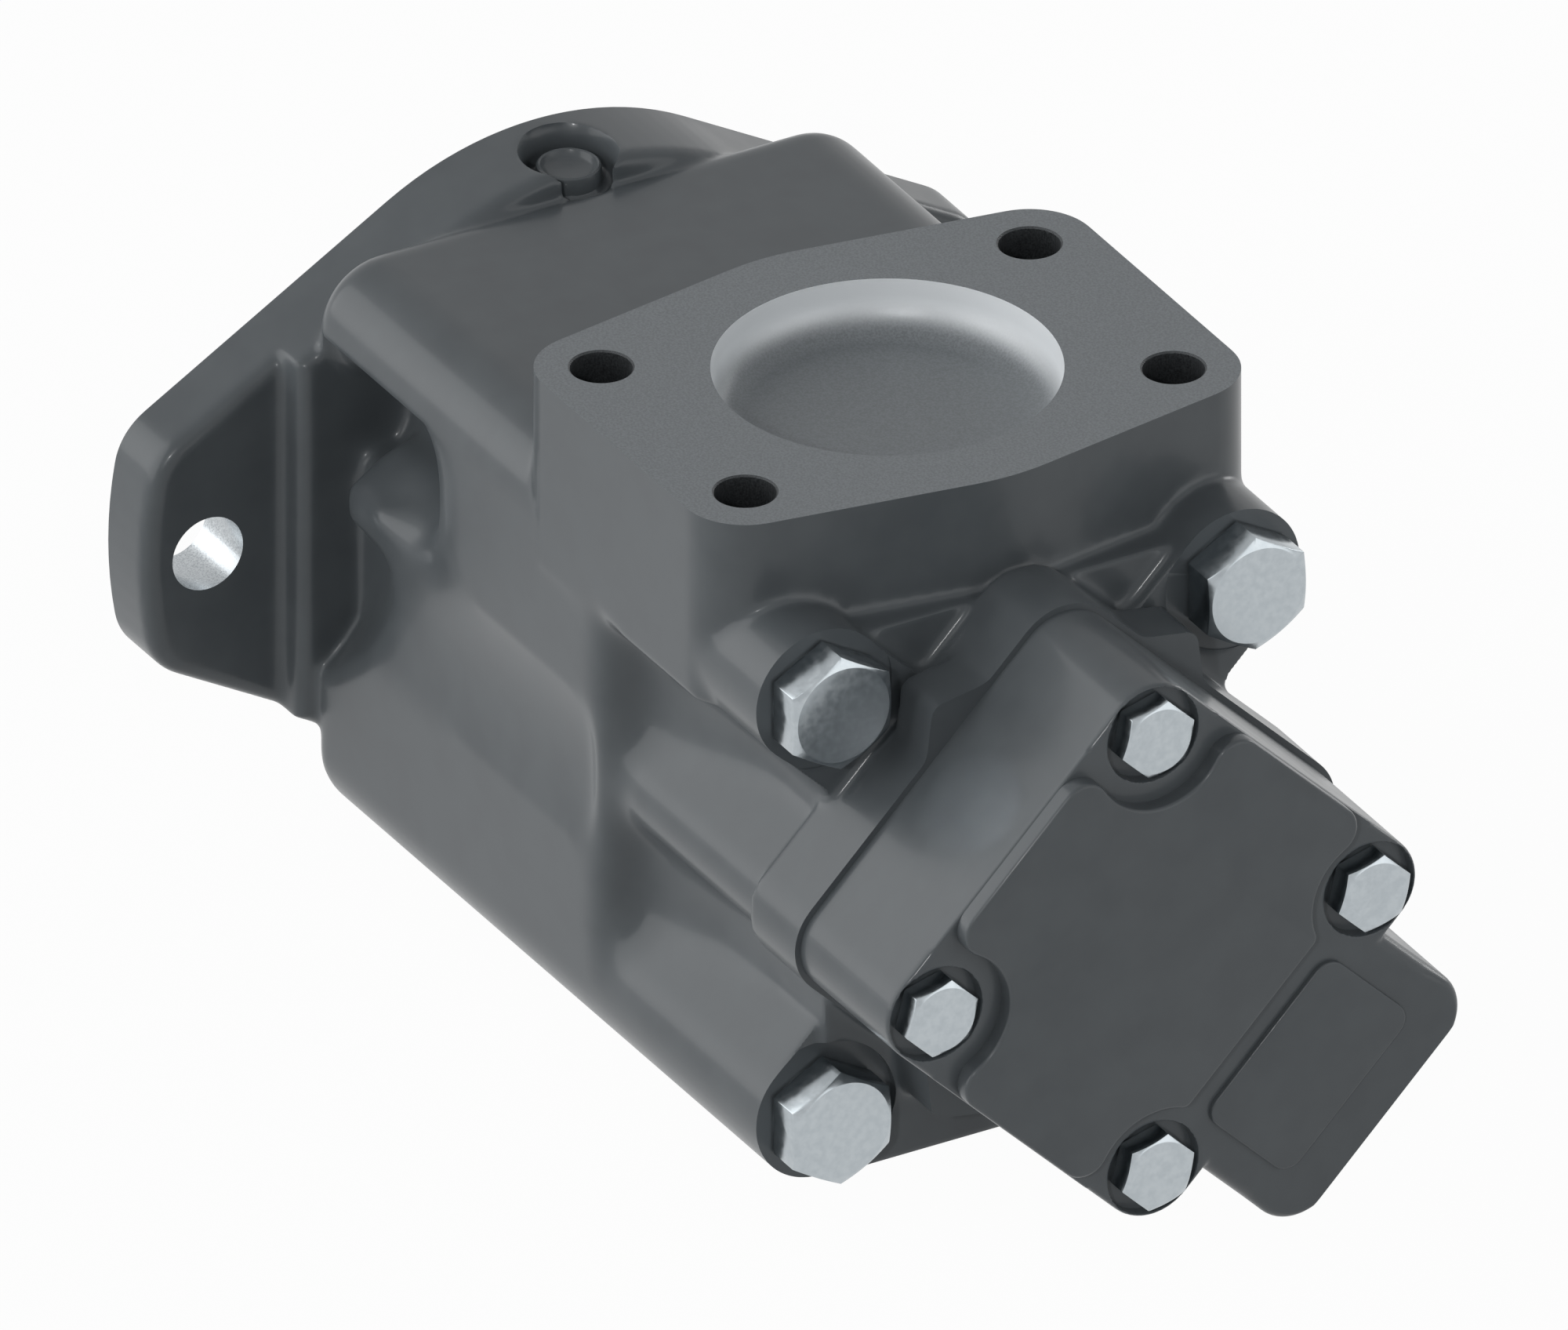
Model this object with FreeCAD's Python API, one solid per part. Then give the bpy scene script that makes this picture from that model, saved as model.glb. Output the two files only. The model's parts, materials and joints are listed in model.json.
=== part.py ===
import FreeCAD, Part
import math
import os

# Double vane pump. Millimetres. X runs along the shaft from the mounting face to the end cap,
# Z is up towards the suction port. The origin is the centre of the mounting face.

# Mounting flange and pilot
PILOT_R = 63.5
PILOT_LENGTH = 12.7
PILOT_CHAMFER = 1.5
FLANGE_THICK = 16.0
FLANGE_DISC_R = 73.8
FLANGE_SLOPE = 30.0
EAR_REACH = 106.0
EAR_CORNER_R = 15.0
EAR_HOLE_SPAN = 181.0
EAR_HOLE_R = 8.75
FLANGE_EDGE_R = 3.5
HUB_THICK = 7.0
HUB_HALF = 71.5
TOP_LUG_R = 7.2
TOP_LUG_TIP_R = 4.5
TOP_LUG_POCKET_R = 10.0
TOP_LUG_X = 14.5
TOP_LUG_DROP = 5.5
TOP_LUG_TIP_HEIGHT = 2.0
TOP_LUG_ROOT = 3.0
TOP_LUG_POCKET_DEPTH = 3.3

# Long bolts that hold the cap to the housing
LONG_BOLT_HALF_PITCH = 51.5
LONG_BOLT_R = 8.0
LONG_BOLT_HOLE_R = 8.75
LONG_BOLT_FLATS = 24.0
LONG_BOLT_HEAD = 10.0
LONG_BOLT_TURN = 30.0
LONG_BOLT_GRIP = 32.6
BOLT_BOSS_R = 16.0
LONG_SPOTFACE_R = 17.5

# Short bolts that hold the end cap
CAP_BOLT_PITCH_R = 53.7
CAP_BOLT_R = 5.0
CAP_BOLT_HOLE_R = 5.5
CAP_BOLT_FLATS = 16.0
CAP_BOLT_HEAD = 6.4
CAP_BOLT_TURN = 15.0
CAP_BOLT_LENGTH = 55.0
CAP_SPOTFACE_R = 11.25
THREAD_CLEARANCE = 0.05
HEX_CHAMFER = 25.0
HEX_RIM = 0.475
THREAD_TIP = 0.16
THREAD_RUNOUT = 5.0

# Castings along the shaft
CAP_LENGTH = 69.6
HOUSING_LENGTH = 158.4
BLOCK_LENGTH = 76.4
BOLT_SEAT_BACK = 16.0
LIP_THICK = 14.0
LIP_STEP = 1.6
END_CAP_THICK = 38.0
PLATE_RISE = 4.0
CAP_BOLT_SINK = 3.4
BODY_FRONT_ROUND = 8.0
BARREL_CORNER_R = 10.8
LIP_CORNER_R = 13.4
END_CAP_CORNER_R = 12.0
CAST_FILLET = 8.0
LIP_FILLET = 12.0
BLOCK_END_ROUND = 5.0
BARREL_LAP = 10.0
SIDE_SCOOP_HALF = 18.5
SIDE_SCOOP_DEPTH = 2.6
SIDE_SCOOP_X = 40.0
REAR_WEB_HALF = 20.0

# Recesses in the cap behind the ear holes
WRENCH_CONE_R = 41.0
WRENCH_CONE_TIP_R = 22.0
WRENCH_CONE_END_X = 58.0
POCKET_FLOOR = 56.0
POCKET_LOW_Z = 19.0
POCKET_BOSS_TRIM = 1.0

# Suction port
SUCTION_BACK = 82.0
SUCTION_FACE_Z = 88.0
SUCTION_R = 38.1
SUCTION_DEPTH = 12.0
SUCTION_BOTTOM_R = 8.0
SUCTION_PITCH_X = 61.93
SUCTION_PITCH_Y = 106.38
SUCTION_TAP_R = 6.8
SUCTION_TAP_DEPTH = 24.0
PAD_CORNER_R = 14.6
PAD_MIDDLE_R = 53.8
PAD_FOOT_Z = 42.0
WINDOW_R = 35.5
WINDOW_CHORD = 19.0
WINDOW_TURN = -30
CHAMBER_R = 42.0

# First outlet port, under the cap
P1_FRONT = 23.6
P1_FACE_Z = -78.0
P1_BORE_R = 15.9
P1_BORE_DEPTH = 28.0
P1_PASSAGE_R = 12.0
P1_PITCH_X = 30.2
P1_PITCH_Y = 58.7
P1_TAP_R = 4.25
P1_TAP_DEPTH = 17.0
P1_CORNER_R = 8.3

# Second outlet port, on the end cap
P2_BACK = 19.0
P2_REACH = 81.0
P2_HALF = 32.0
P2_THREAD_R = 13.5
P2_THREAD_DEPTH = 19.0
P2_BORE_R = 9.5
P2_CORNER_R = 12.0
P2_BORE_STOP = 24.0
P2_EDGE_ROUND = 8.0
PLATE_HALF = 32.0
PLATE_EDGE_R = 1.2
PLATE_ROOT = 4.0
BASE_EDGE_R = 1.5
NOTCH_R = 16.0
LABEL_HALF = 21.0
LABEL_START = 41.0
LABEL_END = 69.0
LABEL_RISE = 1.0
LABEL_CORNER_R = 4.5
LABEL_EDGE_R = 0.6

# Shaft
SHAFT_R = 15.875
SHAFT_TIP_X = -58.7
SHAFT_CHAMFER = 1.5
SEAL_JOURNAL_R = 17.5
BEARING_SEAT_R = 20.0
SHOULDER_R = 23.0
SHOULDER_WIDTH = 2.5
SEAL_RUN = 4.0
SPLINE_ROOT_R = 15.6
SPLINE_TIP_R = 17.4
SPLINE_TEETH = 14
SPLINE_TOOTH = 3.4
SPLINE_OVERRUN = 2.0
SPLINE_CLEARANCE = 0.06
TAIL_R = 12.5
KEY_WIDTH = 7.94
KEY_HEIGHT = 7.94
KEY_LENGTH = 32.0
KEY_GAP = 12.0
KEY_SEAT = 4.0
KEY_RELIEF_WIDTH = 1.0
KEY_RELIEF_DEPTH = 0.3

# Front bearing and seal
BEARING_X = -5.0
BEARING_WIDTH = 18.0
BEARING_R = 40.0
BEARING_LAND_OUTER = 34.0
BEARING_LAND_INNER = 26.0
BALL_R = 5.95
BALL_COUNT = 9
BALL_CLEARANCE = 0.1
CAGE_HALF = 1.8
CAGE_WIDTH = 14.6
RING_WIDTH = 1.75
BEARING_RING_REACH = 3.5
BEARING_RING_GAP = 10.0
SHAFT_RING_REACH = 2.6
SHAFT_RING_GAP = 8.0
RING_DEPTH = 1.6
RING_CLEARANCE = 0.1
SEAL_X = 16.0
SEAL_WIDTH = 10.0
SEAL_R = 28.0
SEAL_WALL = 1.5
SEAL_GRIP = 0.05
SEAL_BACK_GAP = 4.0
SEAL_WEB = 1.5
SEAL_LIP_THICK = 2.4
SEAL_LIP_LENGTH = 6.5
SEAL_SPRING_BACK = 5.0
SPRING_LIFT = 0.4
SPRING_PLAY = 0.02
SPRING_R = 1.0
CAP_WALL_BORE_R = 19.0

# Cartridges
P1_RING_R = 56.0
P1_SPIGOT_LENGTH = 11.6
P1_PLATE_THICK = 10.4
P1_RING_WIDTH = 32.0
P1_INLET_WIDTH = 10.0
P1_SPIGOT_R = 45.9
P1_CHAMBER_LENGTH = 35.6
P1_ROTOR_R = 36.0
P1_CAM_R = 36.5
P1_STROKE = 4.5
P1_VANE_HEIGHT = 11.8
P1_VANE_THICK = 2.4
P1_SCREW_R = 3.0
P1_SCREW_CIRCLE_R = 49.0
P1_DOWEL_R = 3.0
SCREW_GRIP = 7.0

P2_RING_R = 42.0
P2_DEPTH = 56.0
P2_INLET_WIDTH = 10.0
P2_RING_WIDTH = 26.0
P2_SPIGOT_R = 33.9
P2_SPIGOT_LENGTH = 8.0
P2_CHAMBER_R = 30.0
P2_CHAMBER_DEPTH = 18.0
P2_ROTOR_R = 28.0
P2_CAM_R = 28.5
P2_STROKE = 3.6
P2_VANE_HEIGHT = 7.2
P2_VANE_THICK = 2.0
P2_SCREW_R = 2.5
P2_SCREW_CIRCLE_R = 36.5
P2_DOWEL_R = 2.5

VANE_COUNT = 10
VANE_START = 18.0
VANE_CLEARANCE = 0.06
VANE_TIP_GAP = 0.1
VANE_FLOOR_GAP = 0.3
PIN_R = 2.0
P1_PIN_LENGTH = 4.6
P2_PIN_LENGTH = 2.6
PIN_CLEARANCE = 0.06
ROTOR_SIDE_CLEARANCE = 0.05
PLATE_BORE_CLEARANCE = 0.5
RING_FIT = 0.05
SPIGOT_FIT = 0.1

# Seals and rear bush
CORD_R = 1.2
CORD_SQUEEZE = 0.05
GROOVE_GAP = 0.35
CAP_SEAL_R = 60.5
END_SEAL_R = 45.6
SPIGOT_CORD_R = 1.5
BUSH_R = 16.0
BUSH_DEPTH = 18.5
BUSH_LENGTH = 14.0
BUSH_CLEARANCE = 0.03
BUSH_END_GAP = 3.0

# Screws, dowels and oil slots of the cartridges: angles round the shaft
SCREW_ANGLES = (90, 270)
DOWEL_ANGLES = (0, 180)
SUCTION_ANGLES = (45, 225)
PRESSURE_ANGLES = (135, 315)
SUCTION_SPAN = 26
PRESSURE_SPAN = 22
SLOT_OUTER_SHARE = 0.6
SLOT_INNER_SHARE = 0.6
SCREW_HEAD_R_SHARE = 1.7
SCREW_HEAD_SHARE = 1.6
VANE_BEVEL_SHARE = 0.3
CAM_POINTS = 32
PLATE_FACE_GAP = 0.1
P2_PLATE_RELIEF = 3.0

# How close an edge has to lie to a plane to be found on it
EDGE_FIND = 1e-6

# Places along the shaft, worked out from the lengths above
CAP_JOINT_X = CAP_LENGTH
BLOCK_END_X = CAP_JOINT_X + BLOCK_LENGTH
END_CAP_X = CAP_JOINT_X + HOUSING_LENGTH
BOLT_SEAT_X = END_CAP_X - BOLT_SEAT_BACK
LIP_X = END_CAP_X - LIP_THICK
END_PLATE_X = END_CAP_X + END_CAP_THICK
END_FACE_X = END_PLATE_X + PLATE_RISE
CAP_BOLT_SEAT_X = END_PLATE_X - CAP_BOLT_SINK
LONG_BOLT_LENGTH = BOLT_SEAT_X - CAP_JOINT_X + LONG_BOLT_GRIP
SUCTION_X = CAP_JOINT_X + SUCTION_BACK
P1_X = CAP_JOINT_X - P1_FRONT
P2_X = END_CAP_X + P2_BACK
P1_PLATE_X = CAP_JOINT_X - P1_SPIGOT_LENGTH
P1_CHAMBER_X = CAP_JOINT_X - P1_CHAMBER_LENGTH
P1_RING_X = CAP_JOINT_X + P1_PLATE_THICK
P1_RING_END = P1_RING_X + P1_RING_WIDTH
P1_INLET_END = P1_RING_END + P1_INLET_WIDTH
P2_INLET_X = END_CAP_X - P2_DEPTH
P2_RING_X = P2_INLET_X + P2_INLET_WIDTH
P2_RING_END = P2_RING_X + P2_RING_WIDTH
P2_SPIGOT_END_X = END_CAP_X + P2_SPIGOT_LENGTH
P2_CHAMBER_END_X = END_CAP_X + P2_CHAMBER_DEPTH
BUSH_START_X = END_CAP_X + BUSH_DEPTH
P1_SCREW_END_X = P1_RING_X - SCREW_GRIP
P2_SCREW_END_X = P2_RING_END + SCREW_GRIP
SEAL_SPRING_X = SEAL_X + SEAL_WALL + SEAL_SPRING_BACK
P1_SEAL_X = (P1_PLATE_X + CAP_JOINT_X) / 2
P2_SEAL_X = (P2_SPIGOT_END_X + END_CAP_X) / 2

# Oil slots and plate bores
P1_SLOT_INNER = P1_CAM_R - P1_VANE_HEIGHT * SLOT_INNER_SHARE
P1_SLOT_OUTER = P1_CAM_R + P1_STROKE * SLOT_OUTER_SHARE
P2_SLOT_INNER = P2_CAM_R - P2_VANE_HEIGHT * SLOT_INNER_SHARE
P2_SLOT_OUTER = P2_CAM_R + P2_STROKE * SLOT_OUTER_SHARE
PLATE_BORE_R = SPLINE_TIP_R + PLATE_BORE_CLEARANCE

X_AXIS = FreeCAD.Vector(1, 0, 0)
Y_AXIS = FreeCAD.Vector(0, 1, 0)
Z_AXIS = FreeCAD.Vector(0, 0, 1)
ORIGIN = FreeCAD.Vector(0, 0, 0)
BOLT_BOSS_SPOTS = [
    (side * LONG_BOLT_HALF_PITCH, up * LONG_BOLT_HALF_PITCH)
    for side, up in ((-1, 1), (-1, -1), (1, -1), (1, 1))
]
CAP_BOLT_SPOTS = [
    (0, CAP_BOLT_PITCH_R), (-CAP_BOLT_PITCH_R, 0), (0, -CAP_BOLT_PITCH_R), (CAP_BOLT_PITCH_R, 0)
]


def point(x, y, z):
    return FreeCAD.Vector(x, y, z)


def rod(radius, start, end, y=0.0, z=0.0):
    """Cylinder along X."""
    return Part.makeCylinder(radius, end - start, point(start, y, z), X_AXIS)


def tube(outer, inner, start, end, y=0.0, z=0.0):
    return rod(outer, start, end, y, z).cut(rod(inner, start, end, y, z))


def block(x0, x1, y0, y1, z0, z1):
    return Part.makeBox(x1 - x0, y1 - y0, z1 - z0, point(x0, y0, z0))


def post(radius, x, y, z0, z1):
    """Cylinder along Z."""
    return Part.makeCylinder(radius, z1 - z0, point(x, y, z0), Z_AXIS)


def ring_cord(radius, cord, x):
    return Part.makeTorus(radius, cord, point(x, 0, 0), X_AXIS)


def turned(shape, angle):
    copy = shape.copy()
    copy.rotate(ORIGIN, X_AXIS, angle)
    return copy


def joined(shapes):
    return shapes[0].fuse(shapes[1:]).removeSplitter()


def grouped(shapes):
    return Part.makeCompound(shapes)


def spot_x(x):
    """Place an outline drawn in (y, z) on the plane at x."""
    return lambda a, b: point(x, a, b)


def spot_z(z):
    """Place an outline drawn in (x, y) on the plane at z."""
    return lambda a, b: point(a, b, z)


def hull_face(circles, place):
    """Face bounded by the tangent lines and outer arcs of circles given in counterclockwise order."""
    edges = []
    touches = []
    count = len(circles)
    for index, (ay, az, ar) in enumerate(circles):
        by, bz, br = circles[(index + 1) % count]
        length = math.hypot(by - ay, bz - az)
        along = ((by - ay) / length, (bz - az) / length)
        lean = (ar - br) / length
        rise = math.sqrt(1 - lean * lean)
        normal = (along[0] * lean + along[1] * rise, along[1] * lean - along[0] * rise)
        leave = (ay + ar * normal[0], az + ar * normal[1])
        meet = (by + br * normal[0], bz + br * normal[1])
        touches.append((normal, leave, meet))
    for index, (cy, cz, radius) in enumerate(circles):
        before = touches[index - 1]
        after = touches[index]
        start = math.atan2(before[0][1], before[0][0])
        sweep = (math.atan2(after[0][1], after[0][0]) - start) % (2 * math.pi)
        middle = start + sweep / 2
        top = (cy + radius * math.cos(middle), cz + radius * math.sin(middle))
        edges.append(Part.Arc(place(*before[2]), place(*top), place(*after[1])).toShape())
        edges.append(Part.LineSegment(place(*after[1]), place(*after[2])).toShape())
    return Part.Face(Part.Wire(edges))


def hull_x(circles, start, end):
    return hull_face(circles, spot_x(start)).extrude(point(end - start, 0, 0))


def hull_z(circles, start, end):
    return hull_face(circles, spot_z(start)).extrude(point(0, 0, end - start))


def four(radius, spots):
    return [(a, b, radius) for a, b in spots]


def edges_at_x(shape, x):
    boxes = [(edge, edge.BoundBox) for edge in shape.Edges]
    return [edge for edge, box in boxes if abs(box.XMin - x) < EDGE_FIND and abs(box.XMax - x) < EDGE_FIND]


def edges_at_z(shape, z):
    boxes = [(edge, edge.BoundBox) for edge in shape.Edges]
    return [edge for edge, box in boxes if abs(box.ZMin - z) < EDGE_FIND and abs(box.ZMax - z) < EDGE_FIND]


def rounded_at_x(shape, radius, x):
    return shape.makeFillet(radius, edges_at_x(shape, x))


def softened_section(face, radius):
    """Fill the inside corners of a flat section with arcs of the given radius."""
    return face.makeOffset2D(radius).makeOffset2D(-radius)


def bolt_spots_x(shape_at):
    return [shape_at(y, z) for y, z in BOLT_BOSS_SPOTS]


def flange_outline():
    """Disc with two ears: sloped flanks, rounded corners and an arc at each end."""
    slope = math.radians(FLANGE_SLOPE)
    normal = (math.sin(slope), math.cos(slope))
    along = (math.cos(slope), -math.sin(slope))
    inset = FLANGE_DISC_R - EAR_CORNER_R
    run = math.sqrt((EAR_REACH - EAR_CORNER_R) ** 2 - inset ** 2)
    centre = (inset * normal[0] + run * along[0], inset * normal[1] + run * along[1])
    end_turn = math.atan2(centre[1], centre[0])
    flank_turn = math.pi / 2 - slope
    mid_turn = (end_turn + flank_turn) / 2
    disc_touch = (FLANGE_DISC_R * normal[0], FLANGE_DISC_R * normal[1])
    corner_touch = (centre[0] + EAR_CORNER_R * normal[0], centre[1] + EAR_CORNER_R * normal[1])
    corner_mid = (
        centre[0] + EAR_CORNER_R * math.cos(mid_turn),
        centre[1] + EAR_CORNER_R * math.sin(mid_turn),
    )
    end_touch = (EAR_REACH * math.cos(end_turn), EAR_REACH * math.sin(end_turn))
    place = spot_x(0)
    edges = []
    for side in (1, -1):
        for up in (1, -1):
            def flip(spot):
                return place(side * spot[0], up * spot[1])
            edges.append(Part.LineSegment(flip(disc_touch), flip(corner_touch)).toShape())
            edges.append(Part.Arc(flip(corner_touch), flip(corner_mid), flip(end_touch)).toShape())
        ear_low = place(side * end_touch[0], -end_touch[1])
        ear_high = place(side * end_touch[0], end_touch[1])
        edges.append(Part.Arc(ear_low, place(side * EAR_REACH, 0), ear_high).toShape())
    for up in (1, -1):
        left = place(-disc_touch[0], up * disc_touch[1])
        right = place(disc_touch[0], up * disc_touch[1])
        edges.append(Part.Arc(left, place(0, up * FLANGE_DISC_R), right).toShape())
    return Part.Face(Part.Wire(Part.__sortEdges__(edges)))


def wrench_recesses():
    """Side recesses that leave room for the mounting bolts and their wrench."""
    hub_x = FLANGE_THICK + HUB_THICK
    cuts = []
    for side in (1, -1):
        keep = block(FLANGE_THICK, CAP_JOINT_X, POCKET_FLOOR, EAR_REACH, -EAR_REACH, EAR_REACH)
        if side < 0:
            keep = keep.mirror(ORIGIN, Y_AXIS)
        cone = Part.makeCone(
            WRENCH_CONE_R, WRENCH_CONE_TIP_R, WRENCH_CONE_END_X - hub_x,
            point(hub_x, side * EAR_HOLE_SPAN / 2, 0), X_AXIS,
        )
        slot_top = LONG_BOLT_HALF_PITCH + BOLT_BOSS_R / 2
        slot = block(hub_x, CAP_JOINT_X, -EAR_REACH, EAR_REACH, POCKET_LOW_Z, slot_top)
        boss = rod(
            BOLT_BOSS_R - POCKET_BOSS_TRIM, hub_x, CAP_JOINT_X, side * LONG_BOLT_HALF_PITCH, LONG_BOLT_HALF_PITCH
        )
        over_boss = block(
            hub_x, CAP_JOINT_X, -EAR_REACH, EAR_REACH, LONG_BOLT_HALF_PITCH, LONG_BOLT_HALF_PITCH + BOLT_BOSS_R
        )
        cuts.append(cone.fuse(slot).common(keep).cut(boss).cut(over_boss))
    return cuts


def side_scoops(start, end):
    """Shallow hollows along both flat sides of the block."""
    rise = (SIDE_SCOOP_HALF ** 2 + SIDE_SCOOP_DEPTH ** 2) / (2 * SIDE_SCOOP_DEPTH)
    wall = LONG_BOLT_HALF_PITCH + BOLT_BOSS_R
    return [rod(rise, start, end, side * (wall - SIDE_SCOOP_DEPTH + rise), 0) for side in (1, -1)]


def port_taps_z(x, face_z, pitch_x, pitch_y, radius, depth):
    """Four blind tapped holes below or above a level port face."""
    inward = -1 if face_z > 0 else 1
    low, high = sorted((face_z, face_z + inward * depth))
    return [
        post(radius, x + across * pitch_x / 2, along * pitch_y / 2, low, high)
        for across in (1, -1) for along in (1, -1)
    ]


def cord_groove(radius, x, outward):
    """Face groove for a round cord seal, cut into the face at x."""
    depth = 2 * CORD_R - CORD_SQUEEZE
    low, high = sorted((x, x - outward * depth))
    return tube(radius + CORD_R + GROOVE_GAP, radius - CORD_R - GROOVE_GAP, low, high)


def mounting_cap():
    hub_x = FLANGE_THICK + HUB_THICK
    outline = flange_outline()
    flange = rounded_at_x(outline.extrude(point(FLANGE_THICK, 0, 0)), FLANGE_EDGE_R, FLANGE_THICK)
    hub_band = block(0, hub_x, -HUB_HALF, HUB_HALF, -EAR_REACH, EAR_REACH)
    hub = rounded_at_x(outline.extrude(point(hub_x, 0, 0)).common(hub_band), FLANGE_EDGE_R, hub_x)
    pilot = Part.makeCylinder(PILOT_R, PILOT_LENGTH + 1, point(-PILOT_LENGTH, 0, 0), X_AXIS)
    pilot = pilot.makeChamfer(PILOT_CHAMFER, edges_at_x(pilot, -PILOT_LENGTH))
    body = hull_x(four(BOLT_BOSS_R, BOLT_BOSS_SPOTS), FLANGE_THICK + 3, CAP_JOINT_X)
    body = rounded_at_x(body, BODY_FRONT_ROUND, FLANGE_THICK + 3)
    port_pad = hull_z(
        [
            (P1_X - P1_PITCH_X / 2, -P1_PITCH_Y / 2, P1_CORNER_R),
            (P1_X + P1_PITCH_X / 2, -P1_PITCH_Y / 2, P1_CORNER_R),
            (P1_X + P1_PITCH_X / 2, P1_PITCH_Y / 2, P1_CORNER_R),
            (P1_X - P1_PITCH_X / 2, P1_PITCH_Y / 2, P1_CORNER_R),
        ],
        P1_FACE_Z,
        -LONG_BOLT_HALF_PITCH,
    )
    solid = joined([flange, hub, pilot, body, port_pad])
    for cut in wrench_recesses():
        solid = solid.cut(cut)
    for cut in side_scoops(SIDE_SCOOP_X, CAP_JOINT_X):
        solid = solid.cut(cut)
    lug_top = FLANGE_DISC_R - TOP_LUG_DROP
    lug_shoulder = lug_top - TOP_LUG_TIP_HEIGHT
    pocket = post(TOP_LUG_POCKET_R, TOP_LUG_X, 0, lug_top - TOP_LUG_POCKET_DEPTH, FLANGE_DISC_R + 1)
    lug = post(TOP_LUG_R, TOP_LUG_X, 0, lug_shoulder - TOP_LUG_ROOT, lug_shoulder)
    lug_tip = Part.makeCone(
        TOP_LUG_R, TOP_LUG_TIP_R, TOP_LUG_TIP_HEIGHT, point(TOP_LUG_X, 0, lug_shoulder), Z_AXIS
    )
    solid = solid.cut(pocket).fuse([lug, lug_tip])

    bearing_end = BEARING_X + BEARING_WIDTH
    seal_end = SEAL_X + SEAL_WIDTH
    cuts = [
        rod(BEARING_R + RING_FIT, -PILOT_LENGTH - 1, bearing_end),
        rod(BEARING_R + RING_DEPTH, BEARING_X - RING_WIDTH - RING_CLEARANCE, BEARING_X),
        rod(SEAL_R, bearing_end - 1, seal_end),
        rod(CAP_WALL_BORE_R, seal_end - 1, CAP_JOINT_X),
        rod(P1_SPIGOT_R + SPIGOT_FIT, P1_CHAMBER_X, CAP_JOINT_X + 1),
        post(P1_BORE_R, P1_X, 0, P1_FACE_Z - 1, P1_FACE_Z + P1_BORE_DEPTH),
        post(P1_PASSAGE_R, P1_X, 0, P1_FACE_Z, -SEAL_R),
        cord_groove(CAP_SEAL_R, CAP_JOINT_X, 1),
    ]
    for side in (1, -1):
        cuts.append(rod(EAR_HOLE_R, -1, FLANGE_THICK + 1, side * EAR_HOLE_SPAN / 2, 0))
    thread_end = BOLT_SEAT_X - LONG_BOLT_LENGTH - THREAD_RUNOUT
    thread_r = LONG_BOLT_R + THREAD_CLEARANCE
    cuts += bolt_spots_x(lambda y, z: rod(thread_r, thread_end, CAP_JOINT_X + 1, y, z))
    cuts += port_taps_z(P1_X, P1_FACE_Z, P1_PITCH_X, P1_PITCH_Y, P1_TAP_R, P1_TAP_DEPTH)
    return solid.cut(cuts)


def diamond(radius):
    """Four circles on the end cap bolts, counterclockwise seen from the rear."""
    return four(radius, CAP_BOLT_SPOTS)


def barrel_section(x, corner_radius, fillet):
    """Diamond barrel joined to the four bolt bosses with filled inside corners."""
    bosses = [
        hull_x([(y, z, BOLT_BOSS_R), (y / 2, z / 2, BOLT_BOSS_R)], x, x + 1) for y, z in BOLT_BOSS_SPOTS
    ]
    slice_solid = joined([hull_x(diamond(corner_radius), x, x + 1)] + bosses)
    faces = [face for face in slice_solid.Faces if face.BoundBox.XMax - x < 1e-6]
    return softened_section(max(faces, key=lambda face: face.Area), fillet)


def suction_pad():
    half_x = SUCTION_PITCH_X / 2
    half_y = SUCTION_PITCH_Y / 2
    right = SUCTION_X + half_x
    left = SUCTION_X - half_x
    circles = [
        (left, -half_y, PAD_CORNER_R),
        (right, -half_y, PAD_CORNER_R),
        (SUCTION_X, 0, PAD_MIDDLE_R),
        (right, half_y, PAD_CORNER_R),
        (left, half_y, PAD_CORNER_R),
        (SUCTION_X, 0, PAD_MIDDLE_R),
    ]
    return hull_z(circles, PAD_FOOT_Z, SUCTION_FACE_Z)


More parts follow.
